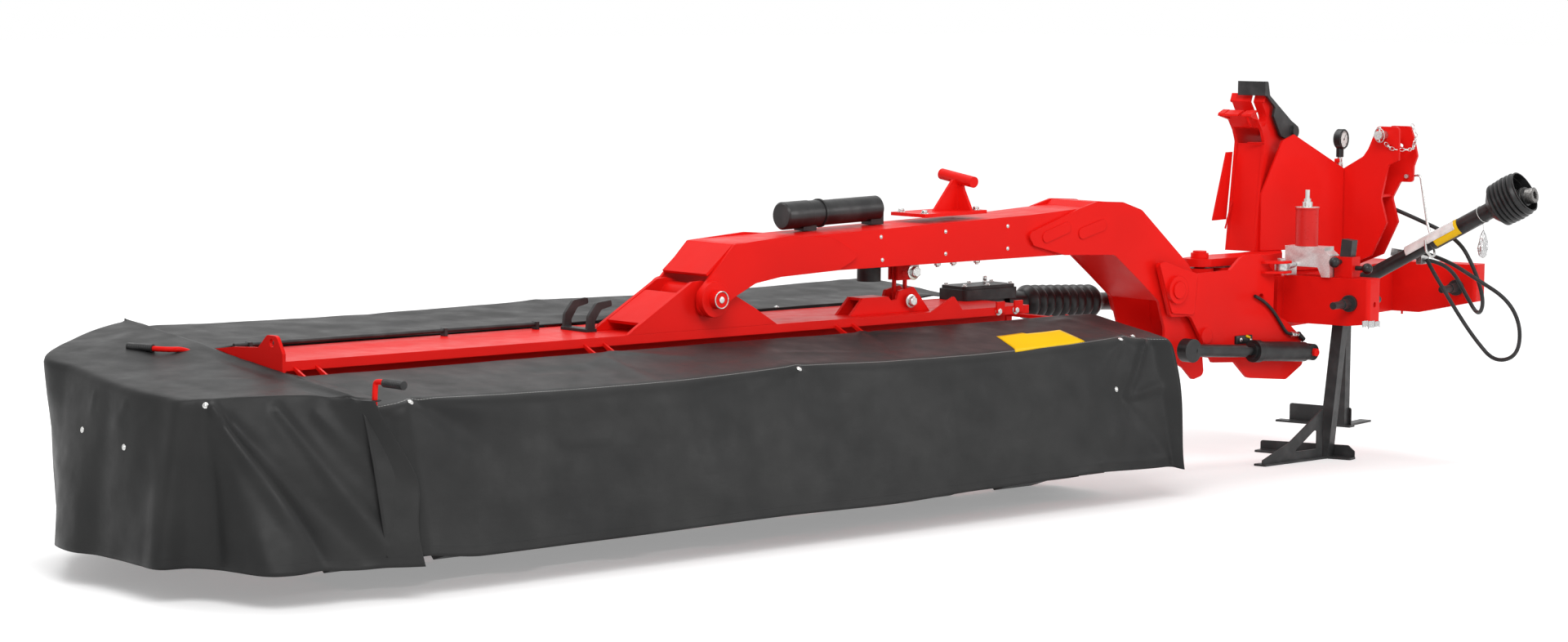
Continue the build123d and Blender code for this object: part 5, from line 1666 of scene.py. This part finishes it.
@dataclass
class CylinderFittings:
    """Port, hard pipe, cap and sensor of the lift cylinder."""

    pipe: float = 0.0065
    pipe_y: float = -0.14
    route: Sequence[Pair] = (
        (0.162, 0.641), (0.206, 0.625), (0.27, 0.58), (0.327, 0.514), (0.35, 0.49), (0.376, 0.483),
        (0.425, 0.478),
    )

    def supply(self, paints: Paintbox) -> None:
        """Hard pipe with its port and elbow."""
        points = [Vector((x, self.pipe_y, z)) for x, z in self.route]
        wire("lift_pipe", points, self.pipe, paints.rubber, Body.SWING_ARM)
        start = Vector((0.377, self.pipe_y, 0.4825))
        flange, elbow = start + Vector((0.02, 0, -0.001)), start + Vector((0.045, 0, -0.003))
        port = Shape()
        port.drum(start, start + Vector((0.022, 0, -0.001)), 0.0115, sides=6, bevel=0.001)
        port.drum(flange, elbow, 0.0095, sides=28, bevel=0.001)
        port.piece("lift_port", paints.bolt_zinc, Body.SWING_ARM, Slot.ZINC)
        bend = Shape()
        bend.drum(elbow, elbow + Vector((0.022, -0.006, -0.022)), 0.0105, sides=24, bevel=0.001)
        bend.ball(elbow, 0.0115)
        bend.piece("lift_elbow", paints.plastic, Body.LIFT_TUBE, Slot.BLACK)

    def base_cap(self, paints: Paintbox) -> None:
        """Cap over the barrel's pin."""
        shape = Shape()
        pin, depth = Vector((0.437, -0.15, 0.415)), Vector((0, -0.054, 0))
        shape.drum(pin, pin + depth, 0.025, sides=36, bevel=0.002)
        shape.piece("lift_base_cap", paints.plastic, Body.SWING_ARM, Slot.BLACK)

    def sensor(self, paints: Paintbox) -> None:
        """Position sensor with its screws and bright tip."""
        case = Shape()
        case.block(Vector((0.108, -0.132, 0.478)), (0.094, 0.014, 0.032), bevel=0.003)
        case.piece("position_sensor", paints.plastic, Body.SWING_ARM, Slot.BLACK)
        screws = Shape()
        for x, z, radius, sides in ((0.085, 0.478, 0.009, 6), (0.14, 0.475, 0.006, 24)):
            screws.drum(Vector((x, -0.1395, z)), Vector((x, -0.144, z)), radius, sides=sides, bevel=0.001)
        screws.piece("sensor_screws", paints.bolt_zinc, Body.SWING_ARM, Slot.ZINC)
        tip = Shape()
        turn = Matrix.Rotation(radians(20), 4, "Y")
        tip.block(Vector((0.126, -0.1415, 0.488)), (0.024, 0.005, 0.009), turn, 0.001)
        tip.piece("sensor_tip", paints.yellow, Body.SWING_ARM, Slot.BLACK)

    def build(self, paints: Paintbox) -> None:
        """Makes the fittings."""
        self.supply(paints)
        self.base_cap(paints)
        self.sensor(paints)


@dataclass
class HitchDetails:
    """Welds and remains of shipping film on the headstock."""

    film_y: float = -0.516
    strips: Sequence[tuple[float, float, float, float]] = (
        (0.345, 0.392, 0.55, 0.028), (0.395, 0.447, 0.546, 0.032), (0.45, 0.493, 0.541, 0.026),
    )
    steps: int = 7

    def welds(self, paints: Paintbox) -> None:
        """Lays the weld beads."""
        shape = Shape()
        shape.bead(hitched(0.562, 0.12, 1.165), hitched(0.418, 0.12, 0.873), 0.0045)
        shape.bead(hitched(0.477, 0.06, 1.206), hitched(0.495, 0.0, 1.207), 0.004)
        shape.bead(hitched(1.432, -0.15, 0.611), hitched(1.439, -0.15, 0.482), 0.005)
        shape.piece("headstock_welds", paints.red, Body.HEADSTOCK, Slot.RED, 60)

    def film(self, paints: Paintbox) -> None:
        """Lays the ragged strips of film: each has a left, right, top and drop."""
        front = HITCH @ Vector((0, -1, 0))
        shape = Shape()
        for left, right, top, drop in self.strips:
            low, high = [], []
            for number in range(self.steps + 1):
                x = between(left, right, number / self.steps)
                ragged = 0.8 + 0.3 * noise.noise(Vector((x * 90, 1, 1)))
                low.append(hitched(x, self.film_y, top - drop * ragged))
                high.append(hitched(x, self.film_y, top + 0.004 * noise.noise(Vector((x * 70, 5, 2)))))
            shape.plate(low + high[::-1], front, 0.002, 0)
        shape.piece("film_remains", paints.foil, Body.HEADSTOCK, Slot.ZINC)

    def build(self, paints: Paintbox) -> None:
        """Makes the details."""
        self.welds(paints)
        self.film(paints)


# ---- Main ----------------------------------------------------------------------------------------------
def main() -> None:
    """Builds the room, dresses the frame and fits the pieces."""
    logging.basicConfig(level=logging.INFO, format="%(name)s: %(message)s")
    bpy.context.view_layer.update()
    Studio().build()
    paints = Paintbox()
    FrameFinish(paints).build()
    covers = Covers(paints)
    covers.build()
    BlankPlate().build(paints, covers.made["front"])
    GuardHandles().build(paints)
    Hoses().build(paints)
    DriveShaft().build(paints)
    DriveBellows().build(paints)
    TopLinkChain().build(paints)
    Gauge().build(paints)
    Fasteners().build(paints)
    CylinderFittings().build(paints)
    HitchDetails().build(paints)


if __name__ == "__main__":
    main()
